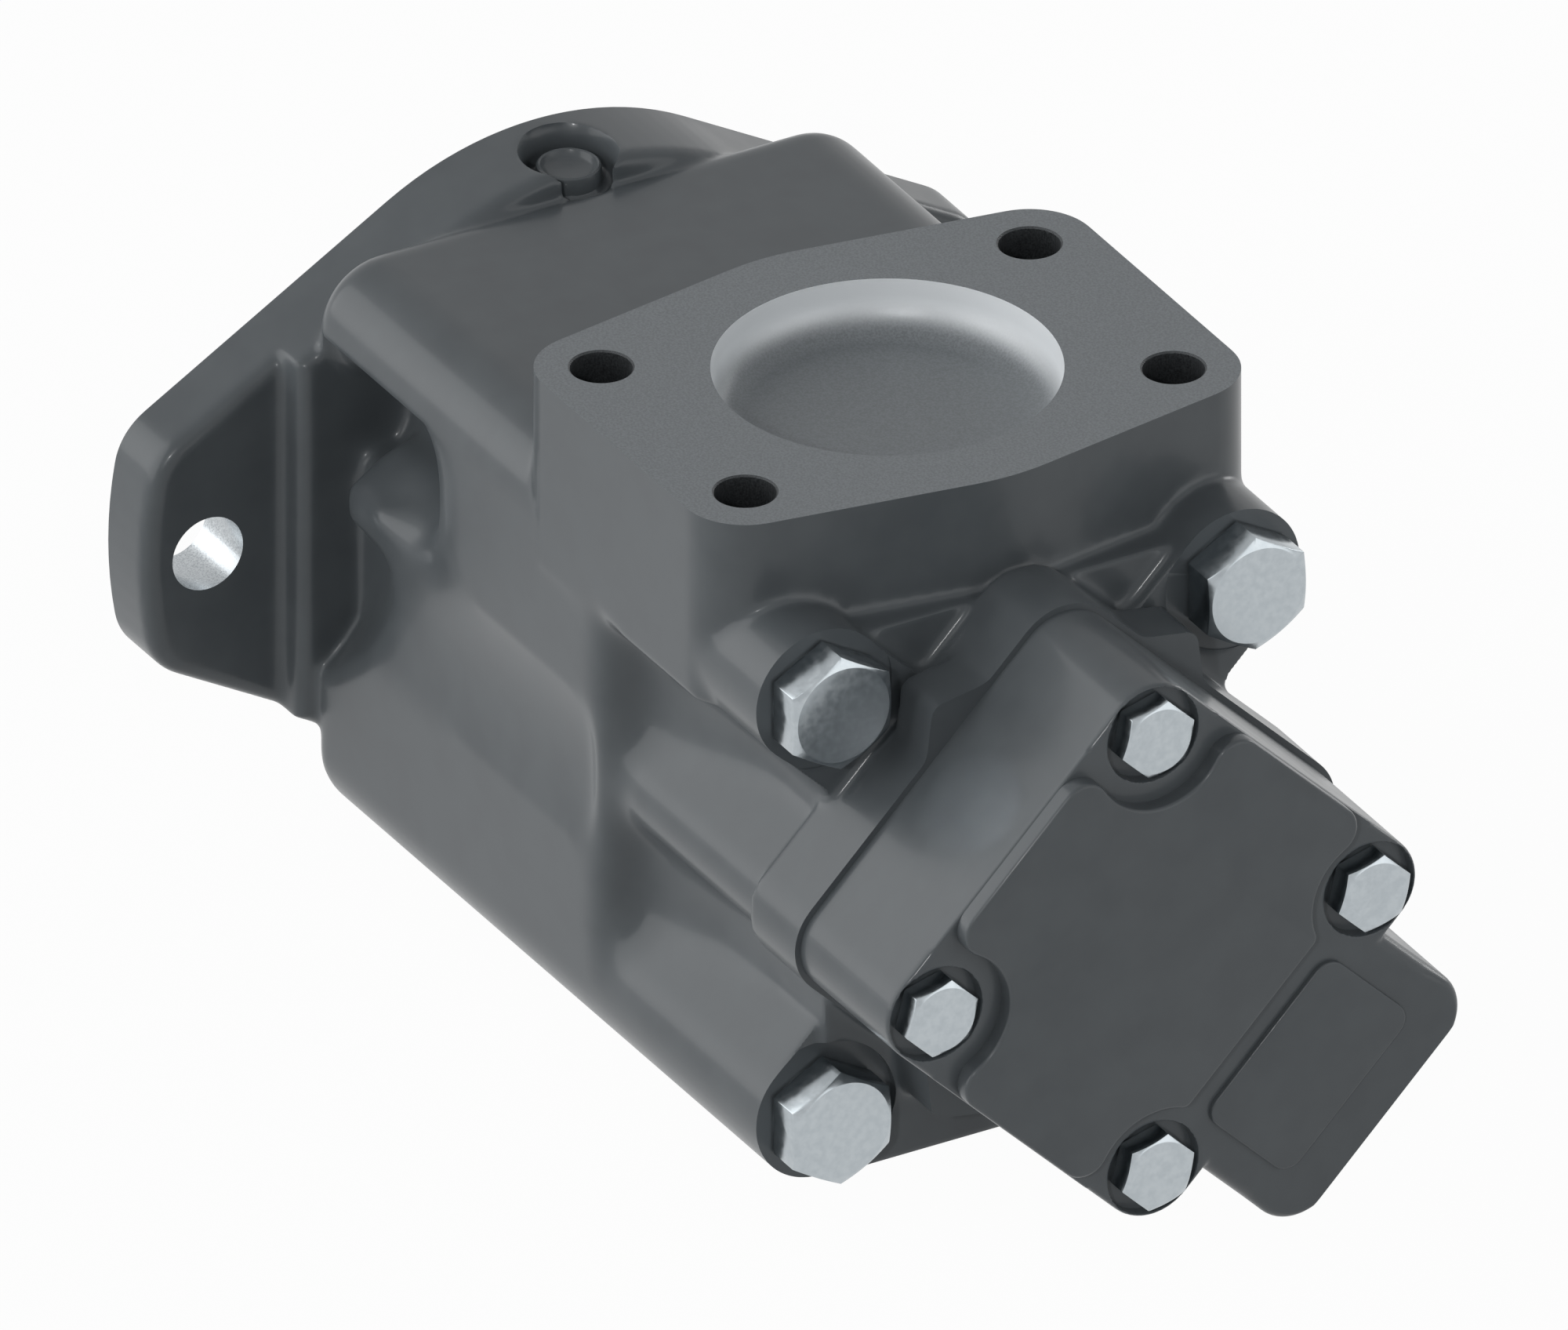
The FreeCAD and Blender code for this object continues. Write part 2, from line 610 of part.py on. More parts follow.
def housing():
    square = hull_x(four(BOLT_BOSS_R, BOLT_BOSS_SPOTS), CAP_JOINT_X, BLOCK_END_X)
    square = square.makeFillet(BLOCK_END_ROUND, edges_at_x(square, BLOCK_END_X))
    barrel_start = BLOCK_END_X - BARREL_LAP
    barrel = barrel_section(barrel_start, BARREL_CORNER_R, CAST_FILLET)
    barrel = barrel.extrude(point(BOLT_SEAT_X - barrel_start, 0, 0))
    core = hull_x(diamond(BARREL_CORNER_R), BOLT_SEAT_X - 1, LIP_X + 1)
    lip = barrel_section(LIP_X, LIP_CORNER_R, LIP_FILLET).extrude(point(END_CAP_X - LIP_X, 0, 0))
    lip = lip.makeFillet(LIP_STEP, edges_at_x(lip, LIP_X))
    floor_web = block(
        barrel_start, LIP_X, -LONG_BOLT_HALF_PITCH, LONG_BOLT_HALF_PITCH,
        -LONG_BOLT_HALF_PITCH - BOLT_BOSS_R, -REAR_WEB_HALF,
    )
    solid = joined([square, barrel, core, lip, floor_web, suction_pad()])
    for cut in side_scoops(CAP_JOINT_X, BLOCK_END_X - BLOCK_END_ROUND):
        solid = solid.cut(cut)
    solid = solid.cut(bolt_spots_x(lambda y, z: rod(LONG_SPOTFACE_R, BOLT_SEAT_X, END_CAP_X + 1, y, z)))

    cap_thread_end = CAP_BOLT_SEAT_X - CAP_BOLT_LENGTH - THREAD_RUNOUT
    bowl = post(SUCTION_R, SUCTION_X, 0, SUCTION_FACE_Z - SUCTION_DEPTH, SUCTION_FACE_Z + 1)
    bowl = bowl.makeFillet(SUCTION_BOTTOM_R, edges_at_z(bowl, SUCTION_FACE_Z - SUCTION_DEPTH))
    window = post(WINDOW_R, SUCTION_X, 0, 0, SUCTION_FACE_Z)
    window = window.cut(block(
        SUCTION_X - SUCTION_R, SUCTION_X + WINDOW_CHORD, -SUCTION_R, SUCTION_R, -1, SUCTION_FACE_Z + 1
    ))
    window.rotate(point(SUCTION_X, 0, 0), Z_AXIS, WINDOW_TURN)
    cuts = [
        rod(P1_RING_R + RING_FIT, CAP_JOINT_X - 1, P1_INLET_END),
        rod(CHAMBER_R, P1_INLET_END - 1, P2_INLET_X),
        rod(P2_RING_R + RING_FIT, P2_INLET_X - 1, END_CAP_X + 1),
        bowl,
        window,
    ]
    cuts += bolt_spots_x(lambda y, z: rod(LONG_BOLT_HOLE_R, CAP_JOINT_X - 1, BOLT_SEAT_X + 1, y, z))
    cuts += port_taps_z(
        SUCTION_X, SUCTION_FACE_Z, SUCTION_PITCH_X, SUCTION_PITCH_Y, SUCTION_TAP_R, SUCTION_TAP_DEPTH
    )
    cuts += [
        rod(CAP_BOLT_R + THREAD_CLEARANCE, cap_thread_end, END_CAP_X + 1, y, z) for y, z in CAP_BOLT_SPOTS
    ]
    return solid.cut(cuts)


def end_cap():
    """Modelled with its port pointing along -Z, then turned to the port's real direction."""
    half = CAP_BOLT_PITCH_R / math.sqrt(2)
    corners = [(half, half), (-half, half), (-half, -half), (half, -half)]
    base = hull_x(four(END_CAP_CORNER_R, corners), END_CAP_X, END_PLATE_X)
    base = rounded_at_x(base, BASE_EDGE_R, END_PLATE_X)
    arm_half = P2_HALF - P2_CORNER_R
    arm_end = P2_REACH - P2_CORNER_R
    arm = hull_x(
        four(P2_CORNER_R, [(arm_half, 0), (-arm_half, 0), (-arm_half, -arm_end), (arm_half, -arm_end)]),
        END_CAP_X, END_PLATE_X,
    )
    arm = rounded_at_x(arm, P2_EDGE_ROUND / 2, END_PLATE_X)
    side = half + END_CAP_CORNER_R
    plate_start = END_PLATE_X - PLATE_ROOT
    plate = hull_x(four(END_CAP_CORNER_R, corners), plate_start, END_FACE_X)
    plate = plate.common(block(plate_start, END_FACE_X, -side, side, -PLATE_HALF, side))
    plate = plate.cut([rod(NOTCH_R, END_CAP_X, END_FACE_X + 1, y, z) for y, z in corners])
    plate = rounded_at_x(plate, PLATE_EDGE_R, END_FACE_X)
    label_low = -LABEL_END + LABEL_CORNER_R
    label_high = -LABEL_START - LABEL_CORNER_R
    label_side = LABEL_HALF - LABEL_CORNER_R
    label_spots = [
        (label_side, label_high), (-label_side, label_high), (-label_side, label_low), (label_side, label_low)
    ]
    label = hull_x(four(LABEL_CORNER_R, label_spots), END_PLATE_X - 1, END_PLATE_X + LABEL_RISE)
    label = rounded_at_x(label, LABEL_EDGE_R, END_PLATE_X + LABEL_RISE)
    solid = joined([base, arm, plate, label])
    bore_end = -P2_BORE_STOP
    cuts = [rod(CAP_BOLT_HOLE_R, END_CAP_X - 1, END_FACE_X, y, z) for y, z in corners]
    cuts += [rod(CAP_SPOTFACE_R, CAP_BOLT_SEAT_X, END_FACE_X + 1, y, z) for y, z in corners]
    cuts.append(post(P2_BORE_R, P2_X, 0, -P2_REACH - 1, bore_end))
    cuts.append(post(P2_THREAD_R, P2_X, 0, -P2_REACH - 1, -P2_REACH + P2_THREAD_DEPTH))
    cuts.append(rod(P2_SPIGOT_R + SPIGOT_FIT, END_CAP_X - 1, P2_SPIGOT_END_X))
    cuts.append(rod(P2_CHAMBER_R, END_CAP_X - 1, P2_CHAMBER_END_X))
    cuts.append(rod(BUSH_R, END_CAP_X - 1, BUSH_START_X + BUSH_LENGTH))
    cuts.append(rod(TAIL_R - 1, END_CAP_X, BUSH_START_X + BUSH_LENGTH + BUSH_END_GAP))
    cuts.append(cord_groove(END_SEAL_R, END_CAP_X, -1))
    return turned(solid.cut(cuts), 45)


def hex_bolt(radius, flats, head, length, seat, y, z, turn):
    """Bolt whose head stands on the plane at seat and whose shank runs towards -X."""
    corner = flats / math.sqrt(3)
    turns = [math.radians(turn + 60 * k) for k in range(6)]
    corners = [point(seat, y + corner * math.cos(a), z + corner * math.sin(a)) for a in turns]
    prism = Part.Face(Part.makePolygon(corners + corners[:1])).extrude(point(head, 0, 0))
    slant = math.tan(math.radians(HEX_CHAMFER))
    rim = flats * HEX_RIM
    crown = Part.makeCone(rim + head / slant, rim, head, point(seat, y, z), X_AXIS)
    head_solid = prism.common(crown)
    shank = rod(radius, seat - length, seat, y, z)
    shank = shank.makeChamfer(radius * THREAD_TIP, edges_at_x(shank, seat - length))
    return head_solid.fuse(shank)


def housing_bolts():
    sizes = (LONG_BOLT_R, LONG_BOLT_FLATS, LONG_BOLT_HEAD, LONG_BOLT_LENGTH, BOLT_SEAT_X)
    return grouped([hex_bolt(*sizes, y, z, LONG_BOLT_TURN) for y, z in BOLT_BOSS_SPOTS])


def end_cap_bolts():
    sizes = (CAP_BOLT_R, CAP_BOLT_FLATS, CAP_BOLT_HEAD, CAP_BOLT_LENGTH, CAP_BOLT_SEAT_X)
    return grouped([hex_bolt(*sizes, y, z, CAP_BOLT_TURN) for y, z in CAP_BOLT_SPOTS])


def spline(start, end, clearance):
    """Splined bar, or the bore for one when it is given a clearance."""
    bar = rod(SPLINE_ROOT_R + clearance, start, end)
    half = SPLINE_TOOTH / 2 + clearance
    tooth = block(start, end, -half, half, 0, SPLINE_TIP_R + clearance)
    teeth = [turned(tooth, 360 * k / SPLINE_TEETH) for k in range(SPLINE_TEETH)]
    return bar.fuse(teeth)


def drive_shaft():
    bearing_end = BEARING_X + BEARING_WIDTH
    seal_end = SEAL_X + SEAL_WIDTH
    shoulder_end = bearing_end + SHOULDER_WIDTH
    journal_end = seal_end + SEAL_RUN
    extension = rod(SHAFT_R, SHAFT_TIP_X, BEARING_X)
    extension = extension.makeChamfer(SHAFT_CHAMFER, edges_at_x(extension, SHAFT_TIP_X))
    collar = rod(BEARING_SEAT_R, BEARING_X - 2 * RING_WIDTH - RING_CLEARANCE, bearing_end)
    groove = tube(
        BEARING_SEAT_R + 1, BEARING_SEAT_R - RING_DEPTH, BEARING_X - RING_WIDTH - RING_CLEARANCE, BEARING_X
    )
    pieces = [
        extension,
        collar.cut(groove),
        rod(SHOULDER_R, bearing_end, shoulder_end),
        rod(SEAL_JOURNAL_R, shoulder_end, journal_end),
        rod(SPLINE_TIP_R, journal_end, P1_RING_X - SPLINE_OVERRUN),
        spline(P1_RING_X - SPLINE_OVERRUN, P1_RING_END + SPLINE_OVERRUN, 0),
        rod(SPLINE_ROOT_R, P1_RING_END + SPLINE_OVERRUN, P2_RING_X - SPLINE_OVERRUN),
        spline(P2_RING_X - SPLINE_OVERRUN, P2_RING_END + SPLINE_OVERRUN, 0),
        rod(TAIL_R, P2_RING_END + SPLINE_OVERRUN, BUSH_START_X + BUSH_LENGTH),
    ]
    shaft = joined(pieces)
    key_start = SHAFT_TIP_X + KEY_GAP
    half = KEY_WIDTH / 2
    keyway = block(key_start, key_start + KEY_LENGTH, -half, half, SHAFT_R - KEY_SEAT, SHAFT_R + 1)
    relief = tube(SHAFT_R + 1, SHAFT_R - KEY_RELIEF_DEPTH, key_start - KEY_RELIEF_WIDTH, key_start)
    return shaft.cut([keyway, relief])


def shaft_key():
    start = SHAFT_TIP_X + KEY_GAP
    half = KEY_WIDTH / 2
    low = SHAFT_R - KEY_SEAT
    return block(start, start + KEY_LENGTH, -half, half, low, low + KEY_HEIGHT)


def bearing_parts():
    end = BEARING_X + BEARING_WIDTH
    middle = BEARING_X + BEARING_WIDTH / 2
    pitch = (BEARING_LAND_OUTER + BEARING_LAND_INNER) / 2
    race = ring_cord(pitch, BALL_R + BALL_CLEARANCE, middle)
    outer = tube(BEARING_R, BEARING_LAND_OUTER, BEARING_X, end).cut(race)
    inner = tube(BEARING_LAND_INNER, BEARING_SEAT_R, BEARING_X, end).cut(race)
    balls = []
    pockets = []
    for k in range(BALL_COUNT):
        angle = 2 * math.pi * k / BALL_COUNT
        centre = point(middle, pitch * math.cos(angle), pitch * math.sin(angle))
        balls.append(Part.makeSphere(BALL_R, centre))
        pockets.append(Part.makeSphere(BALL_R + BALL_CLEARANCE, centre))
    cage = tube(pitch + CAGE_HALF, pitch - CAGE_HALF, middle - CAGE_WIDTH / 2, middle + CAGE_WIDTH / 2)
    return outer, inner, grouped(balls), cage.cut(pockets)


def open_ring(outer, inner, start, end, gap):
    ring = tube(outer, inner, start, end)
    return ring.cut(block(start - 1, end + 1, -gap / 2, gap / 2, 0, outer + 1))


def bearing_retaining_ring():
    return open_ring(
        BEARING_R + RING_DEPTH - RING_CLEARANCE, BEARING_R - BEARING_RING_REACH,
        BEARING_X - RING_WIDTH, BEARING_X, BEARING_RING_GAP,
    )


def shaft_retaining_ring():
    return open_ring(
        BEARING_SEAT_R + SHAFT_RING_REACH, BEARING_SEAT_R - RING_DEPTH + RING_CLEARANCE,
        BEARING_X - RING_WIDTH, BEARING_X, SHAFT_RING_GAP,
    )


def seal_case():
    end = SEAL_X + SEAL_WIDTH
    skirt = tube(SEAL_R, SEAL_R - SEAL_WALL, SEAL_X, end)
    back = tube(SEAL_R, SEAL_JOURNAL_R + SEAL_BACK_GAP, SEAL_X, SEAL_X + SEAL_WALL)
    return skirt.fuse(back).removeSplitter()


def seal_lip():
    start = SEAL_X + SEAL_WALL
    inner = SEAL_JOURNAL_R + SEAL_GRIP
    web = tube(SEAL_R - SEAL_WALL, inner + 1, start, start + SEAL_WEB)
    lip = tube(inner + SEAL_LIP_THICK, inner, start, start + SEAL_LIP_LENGTH)
    groove = ring_cord(inner + SEAL_LIP_THICK + SPRING_LIFT, SPRING_R, SEAL_SPRING_X)
    return web.fuse(lip).removeSplitter().cut(groove)


def seal_spring():
    radius = SEAL_JOURNAL_R + SEAL_GRIP + SEAL_LIP_THICK + SPRING_LIFT
    return ring_cord(radius, SPRING_R - SPRING_PLAY, SEAL_SPRING_X)


def cam_radius(base, stroke, angle):
    """Bore radius of a two-lobed cam ring at an angle from its narrow axis."""
    return base + stroke * (1 - math.cos(2 * angle)) / 2


def cam_ring(outer, base, stroke, start, width, screw_holes):
    points = []
    for k in range(CAM_POINTS):
        angle = 2 * math.pi * k / CAM_POINTS
        radius = cam_radius(base, stroke, angle)
        points.append(point(start, radius * math.cos(angle), radius * math.sin(angle)))
    curve = Part.BSplineCurve()
    curve.interpolate(points, PeriodicFlag=True)
    bore = Part.Face(Part.Wire(curve.toShape())).extrude(point(width, 0, 0))
    return rod(outer, start, start + width).cut(bore).cut(screw_holes)


def kidney(inner, outer, start, end, middle, half_span):
    """Curved slot between two radii, running along X."""
    full = tube(outer, inner, start, end)
    low = math.radians(middle - half_span)
    high = math.radians(middle + half_span)
    reach = 2 * outer
    wedge = Part.makePolygon([
        point(start, 0, 0),
        point(start, reach * math.cos(low), reach * math.sin(low)),
        point(start, reach * math.cos(high), reach * math.sin(high)),
        point(start, 0, 0),
    ])
    return full.common(Part.Face(wedge).extrude(point(end - start, 0, 0)))


def on_circle(radius, angles):
    return [(radius * math.cos(math.radians(a)), radius * math.sin(math.radians(a))) for a in angles]


def cartridge_holes(circle, screw, dowel, start, end):
    holes = [rod(screw + THREAD_CLEARANCE, start, end, y, z) for y, z in on_circle(circle, SCREW_ANGLES)]
    holes += [rod(dowel + THREAD_CLEARANCE, start, end, y, z) for y, z in on_circle(circle, DOWEL_ANGLES)]
    return holes


def rotor(radius, start, width, vane_height, thick, pin_length, stroke):
    low = start + ROTOR_SIDE_CLEARANCE
    high = start + width - ROTOR_SIDE_CLEARANCE
    floor = radius - vane_height + VANE_FLOOR_GAP
    half = thick / 2 + VANE_CLEARANCE
    slot = block(low - 1, high + 1, floor, radius + 2, -half, half)
    middle = (low + high) / 2
    pin_end = floor - pin_length - VANE_FLOOR_GAP
    hole_length = floor + stroke + VANE_FLOOR_GAP - pin_end
    hole = Part.makeCylinder(PIN_R + PIN_CLEARANCE, hole_length, point(middle, pin_end, 0), Y_AXIS)
    body = rod(radius, low, high)
    turns = [VANE_START + 360 * k / VANE_COUNT for k in range(VANE_COUNT)]
    body = body.cut([turned(cut, turn) for turn in turns for cut in (slot, hole)])
    return body.cut(spline(low - 1, high + 1, SPLINE_CLEARANCE))


def vane(cam_base, rotor_radius, start, width, height, thick, pin_length, turn):
    """Vane pushed in to the narrow radius of the cam, with the pin below it."""
    low = start + ROTOR_SIDE_CLEARANCE
    high = start + width - ROTOR_SIDE_CLEARANCE
    tip = cam_base - VANE_TIP_GAP
    foot = rotor_radius - height + VANE_FLOOR_GAP + VANE_TIP_GAP
    blade = block(low, high, foot, tip, -thick / 2, thick / 2)
    tip_edges = [
        edge for edge in blade.Edges
        if abs(edge.BoundBox.YMin - tip) < EDGE_FIND and edge.BoundBox.XLength > thick
    ]
    blade = blade.makeChamfer(thick * VANE_BEVEL_SHARE, tip_edges)
    pin = Part.makeCylinder(PIN_R, pin_length, point((low + high) / 2, foot - pin_length, 0), Y_AXIS)
    return grouped([turned(blade, turn), turned(pin, turn)])


def set_screws(circle, radius, head_x, end_x):
    """Two screws whose heads are sunk in the plate that faces the suction chamber."""
    step = 1 if end_x > head_x else -1
    head_low, head_high = sorted((head_x, head_x + step * radius * SCREW_HEAD_SHARE))
    low, high = sorted((head_x, end_x))
    screws = []
    for y, z in on_circle(circle, SCREW_ANGLES):
        head = rod(radius * SCREW_HEAD_R_SHARE, head_low, head_high, y, z)
        screws.append(head.fuse(rod(radius, low, high, y, z)))
    return grouped(screws)


def head_sinks(circle, radius, head_x, toward):
    low, high = sorted((head_x, head_x + toward * radius * SCREW_HEAD_SHARE))
    sink = radius * SCREW_HEAD_R_SHARE + THREAD_CLEARANCE
    return [rod(sink, low, high, y, z) for y, z in on_circle(circle, SCREW_ANGLES)]


def dowels(circle, radius, start, end):
    return grouped([rod(radius, start, end, y, z) for y, z in on_circle(circle, DOWEL_ANGLES)])


def slots(angles, span, inner, outer, start, end):
    return [kidney(inner, outer, start, end, angle, span) for angle in angles]


def spigot_groove(radius, x):
    half = SPIGOT_CORD_R + GROOVE_GAP
    return tube(radius + 1, radius - 2 * SPIGOT_CORD_R - CORD_SQUEEZE, x - half, x + half)


def p1_pressure_plate():
    face = CAP_JOINT_X + PLATE_FACE_GAP
    low = P1_PLATE_X - 1
    high = P1_RING_X + 1
    plate = joined([rod(P1_RING_R, face, P1_RING_X), rod(P1_SPIGOT_R, P1_PLATE_X, face + 1)])
    cuts = [rod(PLATE_BORE_R, low, high)]
    cuts += slots(PRESSURE_ANGLES, PRESSURE_SPAN, P1_SLOT_INNER, P1_SLOT_OUTER, low, high)
    cuts += cartridge_holes(P1_SCREW_CIRCLE_R, P1_SCREW_R, P1_DOWEL_R, P1_SCREW_END_X - 1, high)
    cuts.append(spigot_groove(P1_SPIGOT_R, P1_SEAL_X))
    return plate.cut(cuts)


def p1_inlet_plate():
    low = P1_RING_END - 1
    high = P1_INLET_END + 1
    cuts = [rod(PLATE_BORE_R, low, high)]
    cuts += slots(SUCTION_ANGLES, SUCTION_SPAN, P1_SLOT_INNER, P1_SLOT_OUTER, low, high)
    cuts += cartridge_holes(P1_SCREW_CIRCLE_R, P1_SCREW_R, P1_DOWEL_R, low, high)
    cuts += head_sinks(P1_SCREW_CIRCLE_R, P1_SCREW_R, P1_INLET_END, -1)
    return rod(P1_RING_R, P1_RING_END, P1_INLET_END).cut(cuts)


def p2_pressure_plate():
    face = END_CAP_X - PLATE_FACE_GAP
    low = P2_RING_END - 1
    high = P2_SPIGOT_END_X + 1
    plate = joined([rod(P2_RING_R, P2_RING_END, face), rod(P2_SPIGOT_R, face - 1, P2_SPIGOT_END_X)])
    cuts = [rod(TAIL_R + PLATE_BORE_CLEARANCE, low, high)]
    cuts.append(rod(PLATE_BORE_R, low, P2_RING_END + P2_PLATE_RELIEF))
    cuts += slots(PRESSURE_ANGLES, PRESSURE_SPAN, P2_SLOT_INNER, P2_CHAMBER_R, low, high)
    cuts += cartridge_holes(P2_SCREW_CIRCLE_R, P2_SCREW_R, P2_DOWEL_R, low, P2_SCREW_END_X + 1)
    cuts.append(spigot_groove(P2_SPIGOT_R, P2_SEAL_X))
    return plate.cut(cuts)


def p2_inlet_plate():
    low = P2_INLET_X - 1
    high = P2_RING_X + 1
    cuts = [rod(PLATE_BORE_R, low, high)]
    cuts += slots(SUCTION_ANGLES, SUCTION_SPAN, P2_SLOT_INNER, P2_SLOT_OUTER, low, high)
    cuts += cartridge_holes(P2_SCREW_CIRCLE_R, P2_SCREW_R, P2_DOWEL_R, low, high)
    cuts += head_sinks(P2_SCREW_CIRCLE_R, P2_SCREW_R, P2_INLET_X, 1)
    return rod(P2_RING_R, P2_INLET_X, P2_RING_X).cut(cuts)


def face_cord(radius, x, outward):
    return ring_cord(radius, CORD_R - CORD_SQUEEZE / 2, x - outward * (CORD_R - CORD_SQUEEZE / 2))


def rear_bush():
    return tube(BUSH_R, TAIL_R + BUSH_CLEARANCE, BUSH_START_X, BUSH_START_X + BUSH_LENGTH)


def all_parts():
    outer, inner, balls, cage = bearing_parts()
    parts = {
        "mounting_cap": mounting_cap(),
        "housing": housing(),
        "end_cap": end_cap(),
        "housing_bolts": housing_bolts(),
        "end_cap_bolts": end_cap_bolts(),
        "drive_shaft": drive_shaft(),
        "shaft_key": shaft_key(),
        "bearing_outer_ring": outer,
        "bearing_inner_ring": inner,
        "bearing_balls": balls,
        "bearing_cage": cage,
        "bearing_retaining_ring": bearing_retaining_ring(),
        "shaft_retaining_ring": shaft_retaining_ring(),
        "seal_case": seal_case(),
        "seal_lip": seal_lip(),
        "seal_spring": seal_spring(),
        "rear_bush": rear_bush(),
        "cap_o_ring": face_cord(CAP_SEAL_R, CAP_JOINT_X, 1),
        "end_cap_o_ring": face_cord(END_SEAL_R, END_CAP_X, -1),
        "p1_pressure_plate": p1_pressure_plate(),
        "p1_inlet_plate": p1_inlet_plate(),
        "p1_plate_seal": ring_cord(P1_SPIGOT_R - SPIGOT_CORD_R, SPIGOT_CORD_R, P1_SEAL_X),
        "p2_pressure_plate": p2_pressure_plate(),
        "p2_inlet_plate": p2_inlet_plate(),
        "p2_plate_seal": ring_cord(P2_SPIGOT_R - SPIGOT_CORD_R, SPIGOT_CORD_R, P2_SEAL_X),
    }
    parts["p1_cam_ring"] = cam_ring(
        P1_RING_R, P1_CAM_R, P1_STROKE, P1_RING_X, P1_RING_WIDTH,
        cartridge_holes(P1_SCREW_CIRCLE_R, P1_SCREW_R, P1_DOWEL_R, P1_RING_X - 1, P1_RING_END + 1),
    )
    parts["p2_cam_ring"] = cam_ring(
        P2_RING_R, P2_CAM_R, P2_STROKE, P2_RING_X, P2_RING_WIDTH,
        cartridge_holes(P2_SCREW_CIRCLE_R, P2_SCREW_R, P2_DOWEL_R, P2_RING_X - 1, P2_RING_END + 1),
    )
    parts["p1_rotor"] = rotor(
        P1_ROTOR_R, P1_RING_X, P1_RING_WIDTH, P1_VANE_HEIGHT, P1_VANE_THICK, P1_PIN_LENGTH, P1_STROKE
    )
    parts["p2_rotor"] = rotor(
        P2_ROTOR_R, P2_RING_X, P2_RING_WIDTH, P2_VANE_HEIGHT, P2_VANE_THICK, P2_PIN_LENGTH, P2_STROKE
    )
    parts["p1_cartridge_screws"] = set_screws(P1_SCREW_CIRCLE_R, P1_SCREW_R, P1_INLET_END, P1_SCREW_END_X)
    parts["p2_cartridge_screws"] = set_screws(P2_SCREW_CIRCLE_R, P2_SCREW_R, P2_INLET_X, P2_SCREW_END_X)
    parts["p1_dowel_pins"] = dowels(P1_SCREW_CIRCLE_R, P1_DOWEL_R, P1_SCREW_END_X, P1_INLET_END)
    parts["p2_dowel_pins"] = dowels(P2_SCREW_CIRCLE_R, P2_DOWEL_R, P2_INLET_X, P2_SCREW_END_X)
    p1_vane = (P1_CAM_R, P1_ROTOR_R, P1_RING_X, P1_RING_WIDTH, P1_VANE_HEIGHT, P1_VANE_THICK, P1_PIN_LENGTH)
    p2_vane = (P2_CAM_R, P2_ROTOR_R, P2_RING_X, P2_RING_WIDTH, P2_VANE_HEIGHT, P2_VANE_THICK, P2_PIN_LENGTH)
    for k in range(VANE_COUNT):
        turn = VANE_START + 360 * k / VANE_COUNT
        parts["p1_vane_%02d" % (k + 1)] = vane(*p1_vane, turn)
        parts["p2_vane_%02d" % (k + 1)] = vane(*p2_vane, turn)
    return parts


os.makedirs("parts", exist_ok=True)
for name, shape in all_parts().items():
    box = shape.BoundBox
    print(
        name, len(shape.Solids), "valid" if shape.isValid() else "NOT VALID", round(shape.Volume),
        [round(v, 2) for v in (box.XMin, box.XMax, box.YMin, box.YMax, box.ZMin, box.ZMax)],
    )
    shape.exportStep("parts/" + name + ".step")
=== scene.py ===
import json
import math

import bmesh
import bpy
import numpy as np
from mathutils import Matrix, Vector


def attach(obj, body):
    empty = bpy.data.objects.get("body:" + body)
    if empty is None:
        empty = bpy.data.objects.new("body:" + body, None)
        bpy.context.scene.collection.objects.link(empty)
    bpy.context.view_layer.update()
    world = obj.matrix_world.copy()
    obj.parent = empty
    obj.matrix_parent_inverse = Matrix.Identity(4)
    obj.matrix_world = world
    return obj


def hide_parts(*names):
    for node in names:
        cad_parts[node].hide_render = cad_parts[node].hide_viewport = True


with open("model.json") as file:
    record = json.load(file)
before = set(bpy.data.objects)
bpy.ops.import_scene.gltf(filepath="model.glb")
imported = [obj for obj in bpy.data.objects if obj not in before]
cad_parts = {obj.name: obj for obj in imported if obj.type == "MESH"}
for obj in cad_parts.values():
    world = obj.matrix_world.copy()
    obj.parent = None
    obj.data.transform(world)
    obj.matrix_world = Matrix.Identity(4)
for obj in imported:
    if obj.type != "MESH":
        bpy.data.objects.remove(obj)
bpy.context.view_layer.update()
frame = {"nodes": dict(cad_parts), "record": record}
nodes = frame["nodes"]
print("frame loaded:", len(nodes), "nodes")

mm = 0.001

# places that several pieces share, in millimetres; allowance is the metal that the cuts take off
pump = {
    "jointX": 69.6, "endX": 228.0, "footZ": -78.0, "padTop": 88.0, "allowance": 4.0,
    "suctionX": 151.6, "padTapX": 30.965, "padTapY": 53.19, "p1X": 46.0, "p1TapX": 15.1, "p1TapY": 29.35,
    "p2X": 247.0, "p2Face": 81.0, "earY": 90.5, "lugX": 14.5,
    "boltHalf": 51.5, "boltSeat": 212.0, "endBoltR": 53.7, "endBoltSeat": 262.6,
}


# materials

# slots of the cast pieces, in the order of castFinishes
# the third slot paints shade into holes with a near-black iron
paintSlot, machinedSlot, holeShadeSlot, padSlot, bowlSlot = range(5)

finishBase = {"tone": (0.35, 0.65), "specular": 0.5, "coat": 0.0, "coatRough": 0.12}


def addNode(tree, kind, **settings):
    node = tree.nodes.new(kind)
    for key, value in settings.items():
        setattr(node, key, value)
    return node


